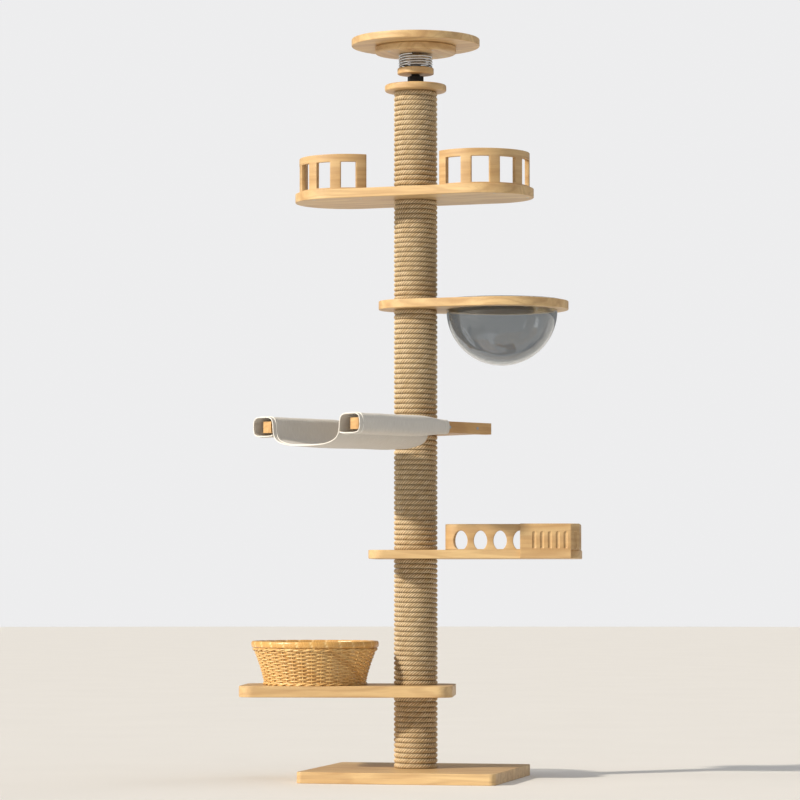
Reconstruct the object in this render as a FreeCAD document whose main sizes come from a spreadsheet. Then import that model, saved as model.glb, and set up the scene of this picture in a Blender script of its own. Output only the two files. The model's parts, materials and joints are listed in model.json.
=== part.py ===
import FreeCAD, Part
import math
import os

import Sketcher

# Floor-to-ceiling cat tree: a wound-paper column wrapped in sisal rope, five turnable shelves clamped
# between its six lengths, and a sprung screw jack that presses a disc against the ceiling.
# Frame: +Z up, origin at the centre of the base board's underside, front of the base faces -Y.

doc = FreeCAD.newDocument("CatTree")
sheet = doc.addObject("Spreadsheet::Sheet", "Sizes")

# Driving dimensions: name, value (millimetres, degrees or a plain count), meaning.
SIZES = [
    ("base_width", 640, "base board, left to right"),
    ("base_depth", 640, "base board, front to back"),
    ("base_thick", 36, "base board"),
    ("base_corner", 20, "corner radius of the base board"),
    ("board_edge", 2.5, "rounding of the boards' long edges"),
    ("core_dia", 110, "outside of the paper tube"),
    ("core_wall", 5, "wall of the paper tube"),
    ("rope_dia", 16, "sisal rope"),
    ("plug_length", 40, "wooden plug in each tube end"),
    ("post_length_1", 231, "base to basket shelf"),
    ("post_length_2", 406, "basket shelf to arch shelf"),
    ("post_length_3", 372, "arch shelf to hammock"),
    ("post_length_4", 371, "hammock to bowl shelf"),
    ("post_length_5", 328, "bowl shelf to fence shelf"),
    ("post_length_6", 326, "fence shelf to collar"),
    ("stud_dia", 10, "joining studs and base bolt"),
    ("stud_reach", 24, "thread engaged in each insert"),
    ("stud_play", 0.1, "stud hole over stud, on the diameter"),
    ("insert_dia", 16, "threaded insert"),
    ("insert_length", 28, "threaded insert"),
    ("bolt_head_dia", 22, "base bolt head"),
    ("bolt_head_height", 7, "base bolt head"),
    ("bolt_washer_dia", 34, "washer under the base bolt"),
    ("bolt_washer_thick", 3, "washer under the base bolt"),
    ("bolt_recess", 13, "depth of the recess in the base's underside"),
    ("recess_play", 2, "recess over the washer, on the diameter"),
    ("collar_dia", 200, "wooden collar on the post"),
    ("collar_thick", 22, "wooden collar"),
    ("basket_yaw", 189, "direction of the basket shelf"),
    ("basket_board_reach", 560, "post axis to far end"),
    ("basket_board_back", 125, "post axis to near end"),
    ("basket_board_width", 350, "basket shelf board"),
    ("basket_board_thick", 36, "basket shelf board"),
    ("basket_board_corner", 50, "corner radius"),
    ("basket_offset", 326, "post axis to basket centre"),
    ("basket_rim_dia", 412, "outside of the rim"),
    ("basket_foot_dia", 330, "outside of the weave at the board"),
    ("basket_height", 142, "board to top of rim"),
    ("basket_wall", 9, "weave thickness"),
    ("basket_waist", 0.45, "share of the flare reached at half height"),
    ("basket_rim_height", 22, "wrapped rim"),
    ("basket_rim_width", 15, "wrapped rim"),
    ("arch_yaw", 8, "direction of the arch shelf"),
    ("arch_board_reach", 535, "post axis to far end"),
    ("arch_board_back", 143, "post axis to near end"),
    ("arch_board_width", 350, "arch shelf board"),
    ("arch_board_thick", 28, "arch shelf board"),
    ("arch_board_corner", 50, "corner radius"),
    ("rail_start", 104, "post axis to the bent end of the arch rail"),
    ("rail_length", 276, "bent end to square end"),
    ("rail_return", 95, "depth of the bent end"),
    ("rail_thick", 15, "arch rail"),
    ("rail_height", 82, "arch rail above the board"),
    ("rail_bend", 50, "outer bend radius"),
    ("arch_first", 52, "bent end to first arch centre"),
    ("arch_pitch", 62.5, "arch spacing"),
    ("arch_count", 4, "arches in the rail"),
    ("arch_width", 43, "arch opening"),
    ("arch_height", 61, "arch opening, from the board"),
    ("arch_foot", 0.8, "width of an arch's flat foot, share of its full width"),
    ("arch_brow", 0.72, "width of an arch halfway up its crown, share of its full width"),
    ("arch_crown", 0.62, "height of an arch's crown, share of its width"),
    ("arch_hip", 0.42, "height where an arch is first at full width, share of its straight part"),
    ("panel_start", 345, "post axis to left end of the fluted panel"),
    ("panel_length", 162, "front fluted panel"),
    ("panel_thick", 15, "fluted panels"),
    ("panel_rise", 83, "panel top above the board"),
    ("facet_width", 37, "corner panel across its face"),
    ("side_panel_length", 250, "side fluted panel"),
    ("flute_width", 14, "routed flute"),
    ("flute_length", 57, "routed flute"),
    ("flute_depth", 4, "routed flute"),
    ("flute_pitch", 25, "flute spacing"),
    ("flute_base", 2, "board top to flute bottom"),
    ("flute_nose", 0.6, "flat of a flute's rounded end, share of its width"),
    ("front_flutes", 5, "flutes in the front panel"),
    ("front_flute_first", 45, "front panel's left end to its first flute"),
    ("side_flutes", 9, "flutes in the side panel"),
    ("hammock_yaw", 57, "direction of the hammock arms, far end"),
    ("arm_size", 36, "square arm"),
    ("arm_spacing", 400, "arm centre to arm centre"),
    ("arm_near", 469, "post axis to near end of arm"),
    ("arm_far", 133, "post axis to far end of arm"),
    ("arm_round", 10.8, "rounding of an arm's far corners"),
    ("hub_length", 180, "hub board along the arms"),
    ("sleeve_width", 90, "cloth sleeve round an arm"),
    ("sleeve_height", 64, "cloth sleeve round an arm"),
    ("cloth_thick", 4, "hemmed cloth"),
    ("cloth_near", 488, "post axis to near hem"),
    ("cloth_far", 74, "post axis to far end of a sleeve"),
    ("trough_sag", 68, "arm centre to lowest point of the cloth"),
    ("trough_flat", 0.36, "half width of the trough's flat bottom, share of the half span"),
    ("trough_turn", 0.74, "where the trough's side meets its floor, share of the half span"),
    ("trough_turn_depth", 0.9, "depth there, share of the sag"),
    ("trough_gap", 4, "far hem to hub board"),
    ("hub_slot_gap", 1, "slot in the sleeves over the hub board"),
    ("ring_yaw", 12, "direction of the bowl shelf"),
    ("ring_board_thick", 28, "bowl shelf board"),
    ("ring_offset", 280, "post axis to ring centre"),
    ("ring_dia", 432, "outside of the ring"),
    ("ring_root_dia", 240, "rounded end round the post"),
    ("ring_play", 2, "ring hole over bowl, on the diameter"),
    ("bowl_dia", 360, "outside of the bowl"),
    ("bowl_wall", 4, "acrylic"),
    ("bowl_flange_dia", 390, "flange that rests on the ring"),
    ("bowl_flange_thick", 4, "flange"),
    ("fence_yaw", -8, "direction of the fence shelf"),
    ("fence_board_thick", 30, "fence shelf board"),
    ("fence_right_span", 225, "post axis to the right end's centre"),
    ("fence_left_span", 238, "post axis to the left end's centre"),
    ("fence_end_dia", 340, "round end of the board"),
    ("fence_dia", 314, "outside of the bent fence"),
    ("fence_thick", 14, "bent fence"),
    ("fence_height", 115, "fence above the board"),
    ("fence_sill", 6, "bottom rail of the fence"),
    ("fence_top", 25, "top rail of the fence"),
    ("fence_right_pitch", 34.6, "slat to slat of the right fence, degrees"),
    ("fence_left_pitch", 31.5, "slat to slat of the left fence, degrees"),
    ("slat_angle", 13, "slat width, degrees"),
    ("fence_right_first", -124, "direction of the right fence's first slat, degrees"),
    ("fence_left_first", -128, "the same of the left fence, mirrored"),
    ("fence_gaps", 4, "openings in each fence"),
    ("washer_dia", 76, "washer under the jack nut"),
    ("washer_thick", 4, "washer under the jack nut"),
    ("nut_flats", 46, "jack nut across flats"),
    ("nut_height", 24, "jack nut"),
    ("nut_gap", 7, "jack nut to cup"),
    ("rod_dia", 30, "jack rod"),
    ("rod_length", 175, "jack rod below the cup"),
    ("rod_play", 0.15, "running play on the rod, on the diameter"),
    ("bush_dia", 40, "guide bush"),
    ("bush_length", 62, "guide bush"),
    ("spigot_dia", 20, "rod end through the cup"),
    ("cup_dia", 118, "cup disc under the spring"),
    ("cup_thick", 20, "cup disc"),
    ("cup_nut_flats", 30, "nut on the cup"),
    ("cup_nut_height", 14, "nut on the cup"),
    ("spring_dia", 110, "outside of the spring"),
    ("spring_height", 47, "free height of the spring"),
    ("spring_turns", 4.75, "turns of the spring"),
    ("spring_air", 0.2, "play at the spring's two ends together"),
    ("wire_dia", 7, "spring wire"),
    ("backing_dia", 264, "backing disc"),
    ("backing_thick", 24, "backing disc"),
    ("ceiling_dia", 417, "ceiling disc"),
    ("ceiling_thick", 24, "ceiling disc"),
    ("disc_round", 6, "rounding of the discs' edges"),
    ("screw_dia", 5, "wood screws"),
    ("screw_head_dia", 10, "wood screw heads"),
    ("screw_head_height", 3, "wood screw heads"),
    ("screw_washer_thick", 2, "washers under the basket screws"),
    ("collar_screw_bite", 25, "collar screws below the collar"),
    ("head_screw_bite", 16, "head screws into the ceiling disc"),
    ("head_screw_inset", 30, "head screws from the backing disc's edge"),
    ("basket_screw_bite", 26, "basket screws into the shelf"),
    ("panel_screw_bite", 20, "screws up into rails, panels and fences"),
    ("side_screw_first", 60, "front edge to the side panel's first screw"),
    ("side_screw_last", 200, "front edge to the side panel's last screw"),
    ("arm_screw_bite", 30, "arm screws into the hub"),
    ("arm_screw_reach", 63, "post axis to an arm screw, along the arm"),
]


class Size:
    """A length or angle that carries its number and the sheet formula it is bound to."""

    def __init__(self, number, formula):
        self.number = float(number)
        self.formula = formula

    def __add__(self, other):
        other = as_size(other)
        return Size(self.number + other.number, "(%s + %s)" % (self.formula, other.formula))

    def __sub__(self, other):
        other = as_size(other)
        return Size(self.number - other.number, "(%s - %s)" % (self.formula, other.formula))

    def __mul__(self, other):
        other = as_size(other)
        return Size(self.number * other.number, "(%s * %s)" % (self.formula, other.formula))

    def __truediv__(self, other):
        other = as_size(other)
        return Size(self.number / other.number, "(%s / %s)" % (self.formula, other.formula))

    def __neg__(self):
        return Size(-self.number, "(-1 * %s)" % self.formula)

    def __radd__(self, other):
        return as_size(other) + self


def as_size(value):
    if isinstance(value, Size):
        return value
    return Size(value, repr(float(value)))


def size_max(first, second):
    return Size(max(first.number, second.number), "max(%s; %s)" % (first.formula, second.formula))


def cosine(angle):
    return Size(math.cos(math.radians(angle.number)), "cos(%s * 1 deg)" % angle.formula)


def sine(angle):
    return Size(math.sin(math.radians(angle.number)), "sin(%s * 1 deg)" % angle.formula)


of = {}
for row, (alias, number, meaning) in enumerate(SIZES, start=1):
    sheet.set("A%d" % row, alias)
    sheet.set("B%d" % row, str(number))
    sheet.setAlias("B%d" % row, alias)
    sheet.set("C%d" % row, meaning)
    of[alias] = Size(number, "Sizes." + alias)
doc.recompute()

ZERO = Size(0, "0")
TURN = Size(360, "360")
SQUARE = Size(90, "90")
HALF_SQUARE = Size(45, "45")
nodes = {}


# ---------------------------------------------------------------- helpers

def bind(thing, name, value):
    """Set a property to its number and tie it to the sheet."""
    thing.setExpression(name, as_size(value).formula)


def seat(thing, x=0, y=0, z=0, yaw=None, axis=(0, 0, 1)):
    """Place an object: a lengthwise offset and one turn, all tied to the sheet."""
    yaw = as_size(yaw if yaw is not None else 0)
    spot = [as_size(value) for value in (x, y, z)]
    thing.Placement = FreeCAD.Placement(
        FreeCAD.Vector(*[value.number for value in spot]),
        FreeCAD.Rotation(FreeCAD.Vector(*axis), yaw.number or 1))
    for letter, value in zip("xyz", spot):
        bind(thing, "Placement.Base." + letter, value)
    bind(thing, "Placement.Rotation.Angle", yaw)
    return thing


def swing(x, y, yaw):
    """Where a point of a shelf's own plan lies once the shelf is turned by yaw."""
    x, y = as_size(x), as_size(y)
    return x * cosine(yaw) - y * sine(yaw), x * sine(yaw) + y * cosine(yaw)


def node(label, thing):
    """Name a finished sub-part; the name is also its file's name."""
    thing.Label = label
    nodes[label] = thing
    return thing


def cylinder(dia, height, x=0, y=0, z=0, sector=TURN, start=None):
    thing = doc.addObject("Part::Cylinder", "Cylinder")
    bind(thing, "Radius", as_size(dia) / 2)
    bind(thing, "Height", height)
    bind(thing, "Angle", sector)
    return seat(thing, x, y, z, start)


def box(length, width, height, x=0, y=0, z=0):
    thing = doc.addObject("Part::Box", "Box")
    bind(thing, "Length", length)
    bind(thing, "Width", width)
    bind(thing, "Height", height)
    return seat(thing, x, y, z)


def prism(flats, height, z=0):
    """Hexagonal bar measured across its flats."""
    thing = doc.addObject("Part::Prism", "Prism")
    thing.Polygon = 6
    bind(thing, "Circumradius", as_size(flats) / 2 / cosine(Size(30, "30")))
    bind(thing, "Height", height)
    return seat(thing, 0, 0, z)


def cut(base, *tools):
    for tool in tools:
        thing = doc.addObject("Part::Cut", "Cut")
        thing.Base = base
        thing.Tool = tool
        base = thing
    return base


def fuse(*things):
    thing = doc.addObject("Part::MultiFuse", "Fusion")
    thing.Shapes = list(things)
    return thing


def group(*things):
    """Identical loose pieces that share one node."""
    thing = doc.addObject("Part::Compound", "Group")
    thing.Links = list(things)
    return thing


def ring(outer, inner, height, x=0, y=0, z=0):
    return cut(cylinder(outer, height, x, y, z), cylinder(inner, height, x, y, z))


def body():
    return doc.addObject("PartDesign::Body", "Body")


def sketch(owner, role):
    thing = owner.newObject("Sketcher::SketchObject", "Sketch")
    plane = [item for item in owner.Origin.OriginFeatures if item.Role == role][0]
    thing.AttachmentSupport = [(plane, "")]
    thing.MapMode = "FlatFace"
    return thing


def pin_point(plan, geometry, end, x, y):
    """Dimension one point of a sketch from the origin, both ways."""
    for kind, value in (("DistanceX", as_size(x)), ("DistanceY", as_size(y))):
        place = plan.addConstraint(Sketcher.Constraint(kind, -1, 1, geometry, end, value.number))
        plan.setExpression("Constraints[%d]" % place, value.formula)


def draw_outline(plan, points):
    """Closed straight-sided outline through points given as sizes."""
    points = [(as_size(x), as_size(y)) for x, y in points]
    first = plan.GeometryCount
    corners = [FreeCAD.Vector(x.number, y.number, 0) for x, y in points]
    for start, end in zip(corners, corners[1:] + corners[:1]):
        plan.addGeometry(Part.LineSegment(start, end))
    count = len(points)
    for step, (x, y) in enumerate(points):
        plan.addConstraint(Sketcher.Constraint(
            "Coincident", first + (step - 1) % count, 2, first + step, 1))
        pin_point(plan, first + step, 1, x, y)


def draw_circle(plan, x, y, dia):
    x, y, dia = as_size(x), as_size(y), as_size(dia)
    circle = plan.addGeometry(Part.Circle(
        FreeCAD.Vector(x.number, y.number, 0), FreeCAD.Vector(0, 0, 1), dia.number / 2))
    pin_point(plan, circle, 3, x, y)
    place = plan.addConstraint(Sketcher.Constraint("Radius", circle, dia.number / 2))
    plan.setExpression("Constraints[%d]" % place, (dia / 2).formula)


def draw_paddle(plan, x_low, r_low, x_high, r_high):
    """Two round ends on the X axis joined by their outer tangents."""
    x_low, r_low, x_high, r_high = [as_size(value) for value in (x_low, r_low, x_high, r_high)]
    lean = math.acos((r_high.number - r_low.number) / (x_high.number - x_low.number))
    low_centre = FreeCAD.Vector(x_low.number, 0, 0)
    high_centre = FreeCAD.Vector(x_high.number, 0, 0)
    up = math.pi - lean
    normal = FreeCAD.Vector(0, 0, 1)
    high_arc = plan.addGeometry(Part.ArcOfCircle(Part.Circle(high_centre, normal, r_high.number), -up, up))
    low_arc = plan.addGeometry(Part.ArcOfCircle(
        Part.Circle(low_centre, normal, r_low.number), up, 2 * math.pi - up))
    high_end = plan.getPoint(high_arc, 2)
    high_start = plan.getPoint(high_arc, 1)
    low_start = plan.getPoint(low_arc, 1)
    low_end = plan.getPoint(low_arc, 2)
    top = plan.addGeometry(Part.LineSegment(high_end, low_start))
    bottom = plan.addGeometry(Part.LineSegment(low_end, high_start))
    for one, one_end, two, two_end in ((high_arc, 2, top, 1), (top, 2, low_arc, 1),
                                       (low_arc, 2, bottom, 1), (bottom, 2, high_arc, 1)):
        plan.addConstraint(Sketcher.Constraint("Tangent", one, one_end, two, two_end))
    for arc, radius in ((high_arc, r_high), (low_arc, r_low)):
        place = plan.addConstraint(Sketcher.Constraint("Radius", arc, radius.number))
        plan.setExpression("Constraints[%d]" % place, radius.formula)
    pin_point(plan, high_arc, 3, x_high, 0)
    pin_point(plan, low_arc, 3, x_low, 0)


def pad(owner, plan, length):
    thing = owner.newObject("PartDesign::Pad", "Pad")
    thing.Profile = plan
    bind(thing, "Length", length)
    return thing


def pocket_through(owner, plan):
    """Cut a sketch right through the body, both ways."""
    thing = owner.newObject("PartDesign::Pocket", "Pocket")
    thing.Profile = plan
    thing.Type = "ThroughAll"
    thing.Midplane = True
    return thing


def round_edges(owner, radius, wanted):
    """Fillet the tip's edges that wanted picks by their shape."""
    doc.recompute()
    tip = owner.Tip
    names = ["Edge%d" % place for place, edge in enumerate(tip.Shape.Edges, start=1) if wanted(edge)]
    thing = owner.newObject("PartDesign::Fillet", "Fillet")
    thing.Base = (tip, names)
    bind(thing, "Radius", radius)
    return thing


def is_upright(edge):
    low, high = edge.Vertexes[0].Point, edge.Vertexes[-1].Point
    return abs(low.z - high.z) > 1 and abs(low.x - high.x) < 1e-6 and abs(low.y - high.y) < 1e-6


def outer_rim_picker(owner, inside):
    """Pick the flat edges round a board's outside and leave those of holes nearer than inside."""
    doc.recompute()
    box_of = owner.Tip.Shape.BoundBox

    def wanted(edge):
        level = edge.BoundBox
        if level.ZLength > 1e-6 or min(abs(level.ZMin - box_of.ZMin), abs(level.ZMin - box_of.ZMax)) > 1e-6:
            return False
        return not inside(edge)
    return wanted


def is_hole(edge):
    return len(edge.Vertexes) == 1


def rounded_board(x_low, x_high, width, thick, corner, edge, holes):
    """Rectangular shelf board with rounded corners, eased edges and round holes."""
    owner = body()
    plan = sketch(owner, "XY_Plane")
    half = as_size(width) / 2
    draw_outline(plan, [(x_low, -half), (x_high, -half), (x_high, half), (x_low, half)])
    pad(owner, plan, thick)
    round_edges(owner, corner, is_upright)
    round_edges(owner, edge, outer_rim_picker(owner, is_hole))
    drill(owner, holes)
    return owner


def paddle_board(x_low, r_low, x_high, r_high, thick, edge, holes):
    """Shelf board with two round ends, eased edges and round holes."""
    owner = body()
    plan = sketch(owner, "XY_Plane")
    draw_paddle(plan, x_low, r_low, x_high, r_high)
    pad(owner, plan, thick)
    round_edges(owner, edge, outer_rim_picker(owner, is_hole))
    drill(owner, holes)
    return owner


def drill(owner, holes):
    for x, y, dia in holes:
        plan = sketch(owner, "XY_Plane")
        draw_circle(plan, x, y, dia)
        pocket_through(owner, plan)


def disc(dia, thick, edge, z, hole=None):
    """Turned wooden disc with rounded edges."""
    owner = body()
    plan = sketch(owner, "XY_Plane")
    draw_circle(plan, 0, 0, dia)
    pad(owner, plan, thick)
    round_edges(owner, edge, lambda item: item.BoundBox.ZLength < 1e-6)
    if hole is not None:
        drill(owner, [(0, 0, hole)])
    return seat(owner, 0, 0, z)


def turned(points):
    """Ring or vessel turned about Z from a straight-sided half section of (radius, height)."""
    owner = body()
    plan = sketch(owner, "XZ_Plane")
    draw_outline(plan, points)
    return spin(owner, plan)


def spin(owner, plan):
    thing = owner.newObject("PartDesign::Revolution", "Revolution")
    thing.Profile = plan
    thing.ReferenceAxis = (plan, ["V_Axis"])
    thing.Angle = 360
    return owner


def wood_screw(length, x, y, z, yaw=None, axis=(0, 0, 1)):
    """Countersunk screw: its head is flush at the given point and it runs down from there."""
    length = as_size(length)
    head = doc.addObject("Part::Cone", "Cone")
    bind(head, "Radius1", of["screw_dia"] / 2)
    bind(head, "Radius2", of["screw_head_dia"] / 2)
    bind(head, "Height", of["screw_head_height"])
    seat(head, 0, 0, -of["screw_head_height"])
    shank = cylinder(of["screw_dia"], length - of["screw_head_height"], 0, 0, -length)
    return seat(fuse(head, shank), x, y, z, yaw, axis)


UPWARD = (Size(180, "180"), (1, 0, 0))
FROM_FRONT = (SQUARE, (1, 0, 0))
FROM_BACK = (Size(-90, "-90"), (1, 0, 0))


# ---------------------------------------------------------------- column

wrap_dia = of["core_dia"] + of["rope_dia"] * 2
plug_dia = of["core_dia"] - of["core_wall"] * 2
stud_hole = of["stud_dia"] + of["stud_play"]
post_lengths = [of["post_length_%d" % step] for step in range(1, 7)]
board_thicks = [of["basket_board_thick"], of["arch_board_thick"], of["arm_size"],
                of["ring_board_thick"], of["fence_board_thick"]]

post_feet = []
post_heads = []
level = of["base_thick"]
for step, length in enumerate(post_lengths):
    post_feet.append(level)
    post_heads.append(level + length)
    level = post_heads[-1]
    if step < len(board_thicks):
        level = level + board_thicks[step]
basket_level, arch_level, hub_level, ring_level, fence_level = post_heads[:5]
collar_level = post_heads[5]

base = rounded_board(-of["base_width"] / 2, of["base_width"] / 2, of["base_depth"], of["base_thick"],
                     of["base_corner"], of["board_edge"], [(0, 0, stud_hole)])
recess_dia = of["bolt_washer_dia"] + of["recess_play"]
node("base_board", cut(base, cylinder(recess_dia, of["bolt_recess"])))
washer_level = of["bolt_recess"] - of["bolt_washer_thick"]
node("base_washer", ring(of["bolt_washer_dia"], stud_hole, of["bolt_washer_thick"], 0, 0, washer_level))
head_level = washer_level - of["bolt_head_height"]
shank_length = of["base_thick"] + of["stud_reach"] - washer_level
node("base_bolt", fuse(cylinder(of["bolt_head_dia"], of["bolt_head_height"], 0, 0, head_level),
                       cylinder(of["stud_dia"], shank_length, 0, 0, washer_level)))


def insert(z):
    return ring(of["insert_dia"], of["stud_dia"], of["insert_length"], 0, 0, z)


inserts = []
plugs = []
for step, (foot, head) in enumerate(zip(post_feet, post_heads), start=1):
    length = post_lengths[step - 1]
    node("post_tube_%d" % step, ring(of["core_dia"], plug_dia, length, 0, 0, foot))
    node("rope_wrap_%d" % step, ring(wrap_dia, of["core_dia"], length, 0, 0, foot))
    lower = ring(plug_dia, of["insert_dia"], of["plug_length"], 0, 0, foot)
    upper_bore = of["insert_dia"] if step < len(post_lengths) else of["bush_dia"]
    upper = ring(plug_dia, upper_bore, of["plug_length"], 0, 0, head - of["plug_length"])
    plugs.append(group(lower, upper))
    inserts.append(insert(foot))
    if step < len(post_lengths):
        inserts.append(insert(head - of["insert_length"]))
node("threaded_inserts", group(*inserts))

studs = []
for head, thick in zip(post_heads, board_thicks):
    studs.append(cylinder(of["stud_dia"], thick + of["stud_reach"] * 2, 0, 0, head - of["stud_reach"]))
node("joining_studs", group(*studs))

# ---------------------------------------------------------------- jack

collar_top = collar_level + of["collar_thick"]
collar = disc(of["collar_dia"], of["collar_thick"], of["disc_round"], collar_level, of["bush_dia"])
collar_screws = []
for turn in range(3):
    angle = Size(120 * turn + 30, str(120 * turn + 30))
    reach = (plug_dia + of["bush_dia"]) / 4
    collar_screws.append(wood_screw(of["collar_thick"] + of["collar_screw_bite"],
                                    reach * cosine(angle), reach * sine(angle), collar_top))
collar_screws = group(*collar_screws)
node("collar_screws", collar_screws)
node("top_collar", cut(collar, collar_screws))
plugs[-1] = cut(plugs[-1], collar_screws)
for step, pair in enumerate(plugs, start=1):
    node("post_plugs_%d" % step, pair)

node("jack_bush", ring(of["bush_dia"], of["rod_dia"] + of["rod_play"], of["bush_length"], 0, 0,
                       collar_top - of["bush_length"]))
running_bore = of["rod_dia"] + of["rod_play"]
node("jack_washer", ring(of["washer_dia"], running_bore, of["washer_thick"], 0, 0, collar_top))
nut_level = collar_top + of["washer_thick"]
node("jack_nut", cut(prism(of["nut_flats"], of["nut_height"], nut_level),
                     cylinder(running_bore, of["nut_height"], 0, 0, nut_level)))
cup_level = nut_level + of["nut_height"] + of["nut_gap"]
cup_top = cup_level + of["cup_thick"]
node("jack_rod", fuse(cylinder(of["rod_dia"], of["rod_length"], 0, 0, cup_level - of["rod_length"]),
                      cylinder(of["spigot_dia"], of["cup_thick"] + of["cup_nut_height"], 0, 0, cup_level)))
node("spring_cup", disc(of["cup_dia"], of["cup_thick"], of["disc_round"] / 2, cup_level, of["spigot_dia"]))
node("cup_nut", cut(prism(of["cup_nut_flats"], of["cup_nut_height"], cup_top),
                    cylinder(of["spigot_dia"], of["cup_nut_height"], 0, 0, cup_top)))

coil_height = of["spring_height"] - of["wire_dia"] - of["spring_air"]
helix = doc.addObject("Part::Helix", "Helix")
helix.SegmentLength = 0.25
bind(helix, "Pitch", coil_height / of["spring_turns"])
bind(helix, "Height", coil_height)
bind(helix, "Radius", (of["spring_dia"] - of["wire_dia"]) / 2)
wire = doc.addObject("Part::Circle", "Circle")
bind(wire, "Radius", of["wire_dia"] / 2)
seat(wire, (of["spring_dia"] - of["wire_dia"]) / 2, 0, 0, SQUARE, (1, 0, 0))
coil = doc.addObject("Part::Sweep", "Sweep")
coil.Sections = [wire]
coil.Spine = (helix, [])
coil.Solid = True
coil.Frenet = True
node("ceiling_spring", seat(coil, 0, 0, cup_top + of["wire_dia"] / 2 + of["spring_air"] / 2))

backing_level = cup_top + of["spring_height"]
ceiling_level = backing_level + of["backing_thick"]
backing = disc(of["backing_dia"], of["backing_thick"], of["disc_round"], backing_level)
ceiling = disc(of["ceiling_dia"], of["ceiling_thick"], of["disc_round"] / 2, ceiling_level)
head_screws = []
for turn in range(4):
    angle = Size(90 * turn + 45, str(90 * turn + 45))
    reach = of["backing_dia"] / 2 - of["head_screw_inset"]
    head_screws.append(wood_screw(of["backing_thick"] + of["head_screw_bite"],
                                  reach * cosine(angle), reach * sine(angle), backing_level, *UPWARD))
head_screws = group(*head_screws)
node("head_screws", head_screws)
node("backing_disc", cut(backing, head_screws))
node("ceiling_board", cut(ceiling, head_screws))

# ---------------------------------------------------------------- basket shelf

basket_top = basket_level + of["basket_board_thick"]
basket_x, basket_y = swing(of["basket_offset"], 0, of["basket_yaw"])
basket_board = seat(
    rounded_board(-of["basket_board_back"], of["basket_board_reach"], of["basket_board_width"],
                  of["basket_board_thick"], of["basket_board_corner"], of["board_edge"],
                  [(0, 0, stud_hole)]),
    0, 0, basket_level, of["basket_yaw"])

foot_radius = of["basket_foot_dia"] / 2
rim_radius = of["basket_rim_dia"] / 2
weave_height = of["basket_height"] - of["basket_rim_height"]
lip_radius = rim_radius - (of["basket_rim_width"] - of["basket_wall"]) / 2
waist_radius = foot_radius + (lip_radius - foot_radius) * of["basket_waist"]
weave = turned([
    (ZERO, ZERO), (foot_radius, ZERO), (waist_radius, weave_height / 2), (lip_radius, weave_height),
    (lip_radius - of["basket_wall"], weave_height),
    (waist_radius - of["basket_wall"], weave_height / 2),
    (foot_radius - of["basket_wall"], of["basket_wall"]), (ZERO, of["basket_wall"])])
seat(weave, basket_x, basket_y, basket_top)
rim_inner = rim_radius - of["basket_rim_width"]
rim_level = basket_top + weave_height
node("basket_rim", ring(of["basket_rim_dia"], rim_inner * 2, of["basket_rim_height"],
                        basket_x, basket_y, rim_level))
screw_washers = []
basket_screws = []
for turn in range(4):
    angle = Size(90 * turn + 45, str(90 * turn + 45))
    x = basket_x + foot_radius / 2 * cosine(angle)
    y = basket_y + foot_radius / 2 * sine(angle)
    z = basket_top + of["basket_wall"]
    screw_washers.append(cylinder(of["screw_head_dia"] * 2, of["screw_washer_thick"], x, y, z))
    basket_screws.append(wood_screw(of["basket_wall"] + of["basket_screw_bite"], x, y,
                                    z + of["screw_washer_thick"]))
basket_screws = group(*basket_screws)
node("basket_screws", basket_screws)
node("basket_washers", cut(group(*screw_washers), basket_screws))
node("basket_weave", cut(weave, basket_screws))
node("basket_board", cut(basket_board, basket_screws))

# ---------------------------------------------------------------- arch shelf

arch_top = arch_level + of["arch_board_thick"]
front_edge = -of["arch_board_width"] / 2
arch_board = seat(
    rounded_board(-of["arch_board_back"], of["arch_board_reach"], of["arch_board_width"],
                  of["arch_board_thick"], of["arch_board_corner"], of["board_edge"],
                  [(0, 0, stud_hole)]),
    0, 0, arch_level, of["arch_yaw"])

rail = body()
rail_plan = sketch(rail, "XY_Plane")
rail_inner_x = of["rail_start"] + of["rail_thick"]
rail_inner_y = front_edge + of["rail_thick"]
rail_end = of["rail_start"] + of["rail_length"]
draw_outline(rail_plan, [
    (of["rail_start"], front_edge), (rail_end, front_edge), (rail_end, rail_inner_y),
    (rail_inner_x, rail_inner_y), (rail_inner_x, front_edge + of["rail_return"]),
    (of["rail_start"], front_edge + of["rail_return"])])
pad(rail, rail_plan, of["rail_height"])


def at_plan_point(x, y):
    """Pick the upright edge that stands over a plan point."""
    def wanted(edge):
        spot = edge.Vertexes[0].Point
        return is_upright(edge) and abs(spot.x - x.number) < 1e-4 and abs(spot.y - y.number) < 1e-4
    return wanted


round_edges(rail, of["rail_bend"], at_plan_point(of["rail_start"], front_edge))
round_edges(rail, of["rail_bend"] - of["rail_thick"], at_plan_point(rail_inner_x, rail_inner_y))
arch_plan = sketch(rail, "XZ_Plane")
arch_middle = of["rail_start"] + of["arch_first"]
arch_half = of["arch_width"] / 2
arch_foot = arch_half * of["arch_foot"]
arch_brow = arch_half * of["arch_brow"]
arch_shoulder = of["arch_height"] - of["arch_width"] * of["arch_crown"]
arch_hip = arch_shoulder * of["arch_hip"]
arch_temple = (arch_shoulder + of["arch_height"]) / 2
draw_outline(arch_plan, [
    (arch_middle - arch_foot, of["board_edge"]), (arch_middle + arch_foot, of["board_edge"]),
    (arch_middle + arch_half, arch_hip), (arch_middle + arch_half, arch_shoulder),
    (arch_middle + arch_brow, arch_temple), (arch_middle, of["arch_height"]),
    (arch_middle - arch_brow, arch_temple),
    (arch_middle - arch_half, arch_shoulder), (arch_middle - arch_half, arch_hip)])
arch_cut = pocket_through(rail, arch_plan)
arches = rail.newObject("PartDesign::LinearPattern", "Arches")
arches.Originals = [arch_cut]
arches.Direction = (rail_plan, ["H_Axis"])
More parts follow.
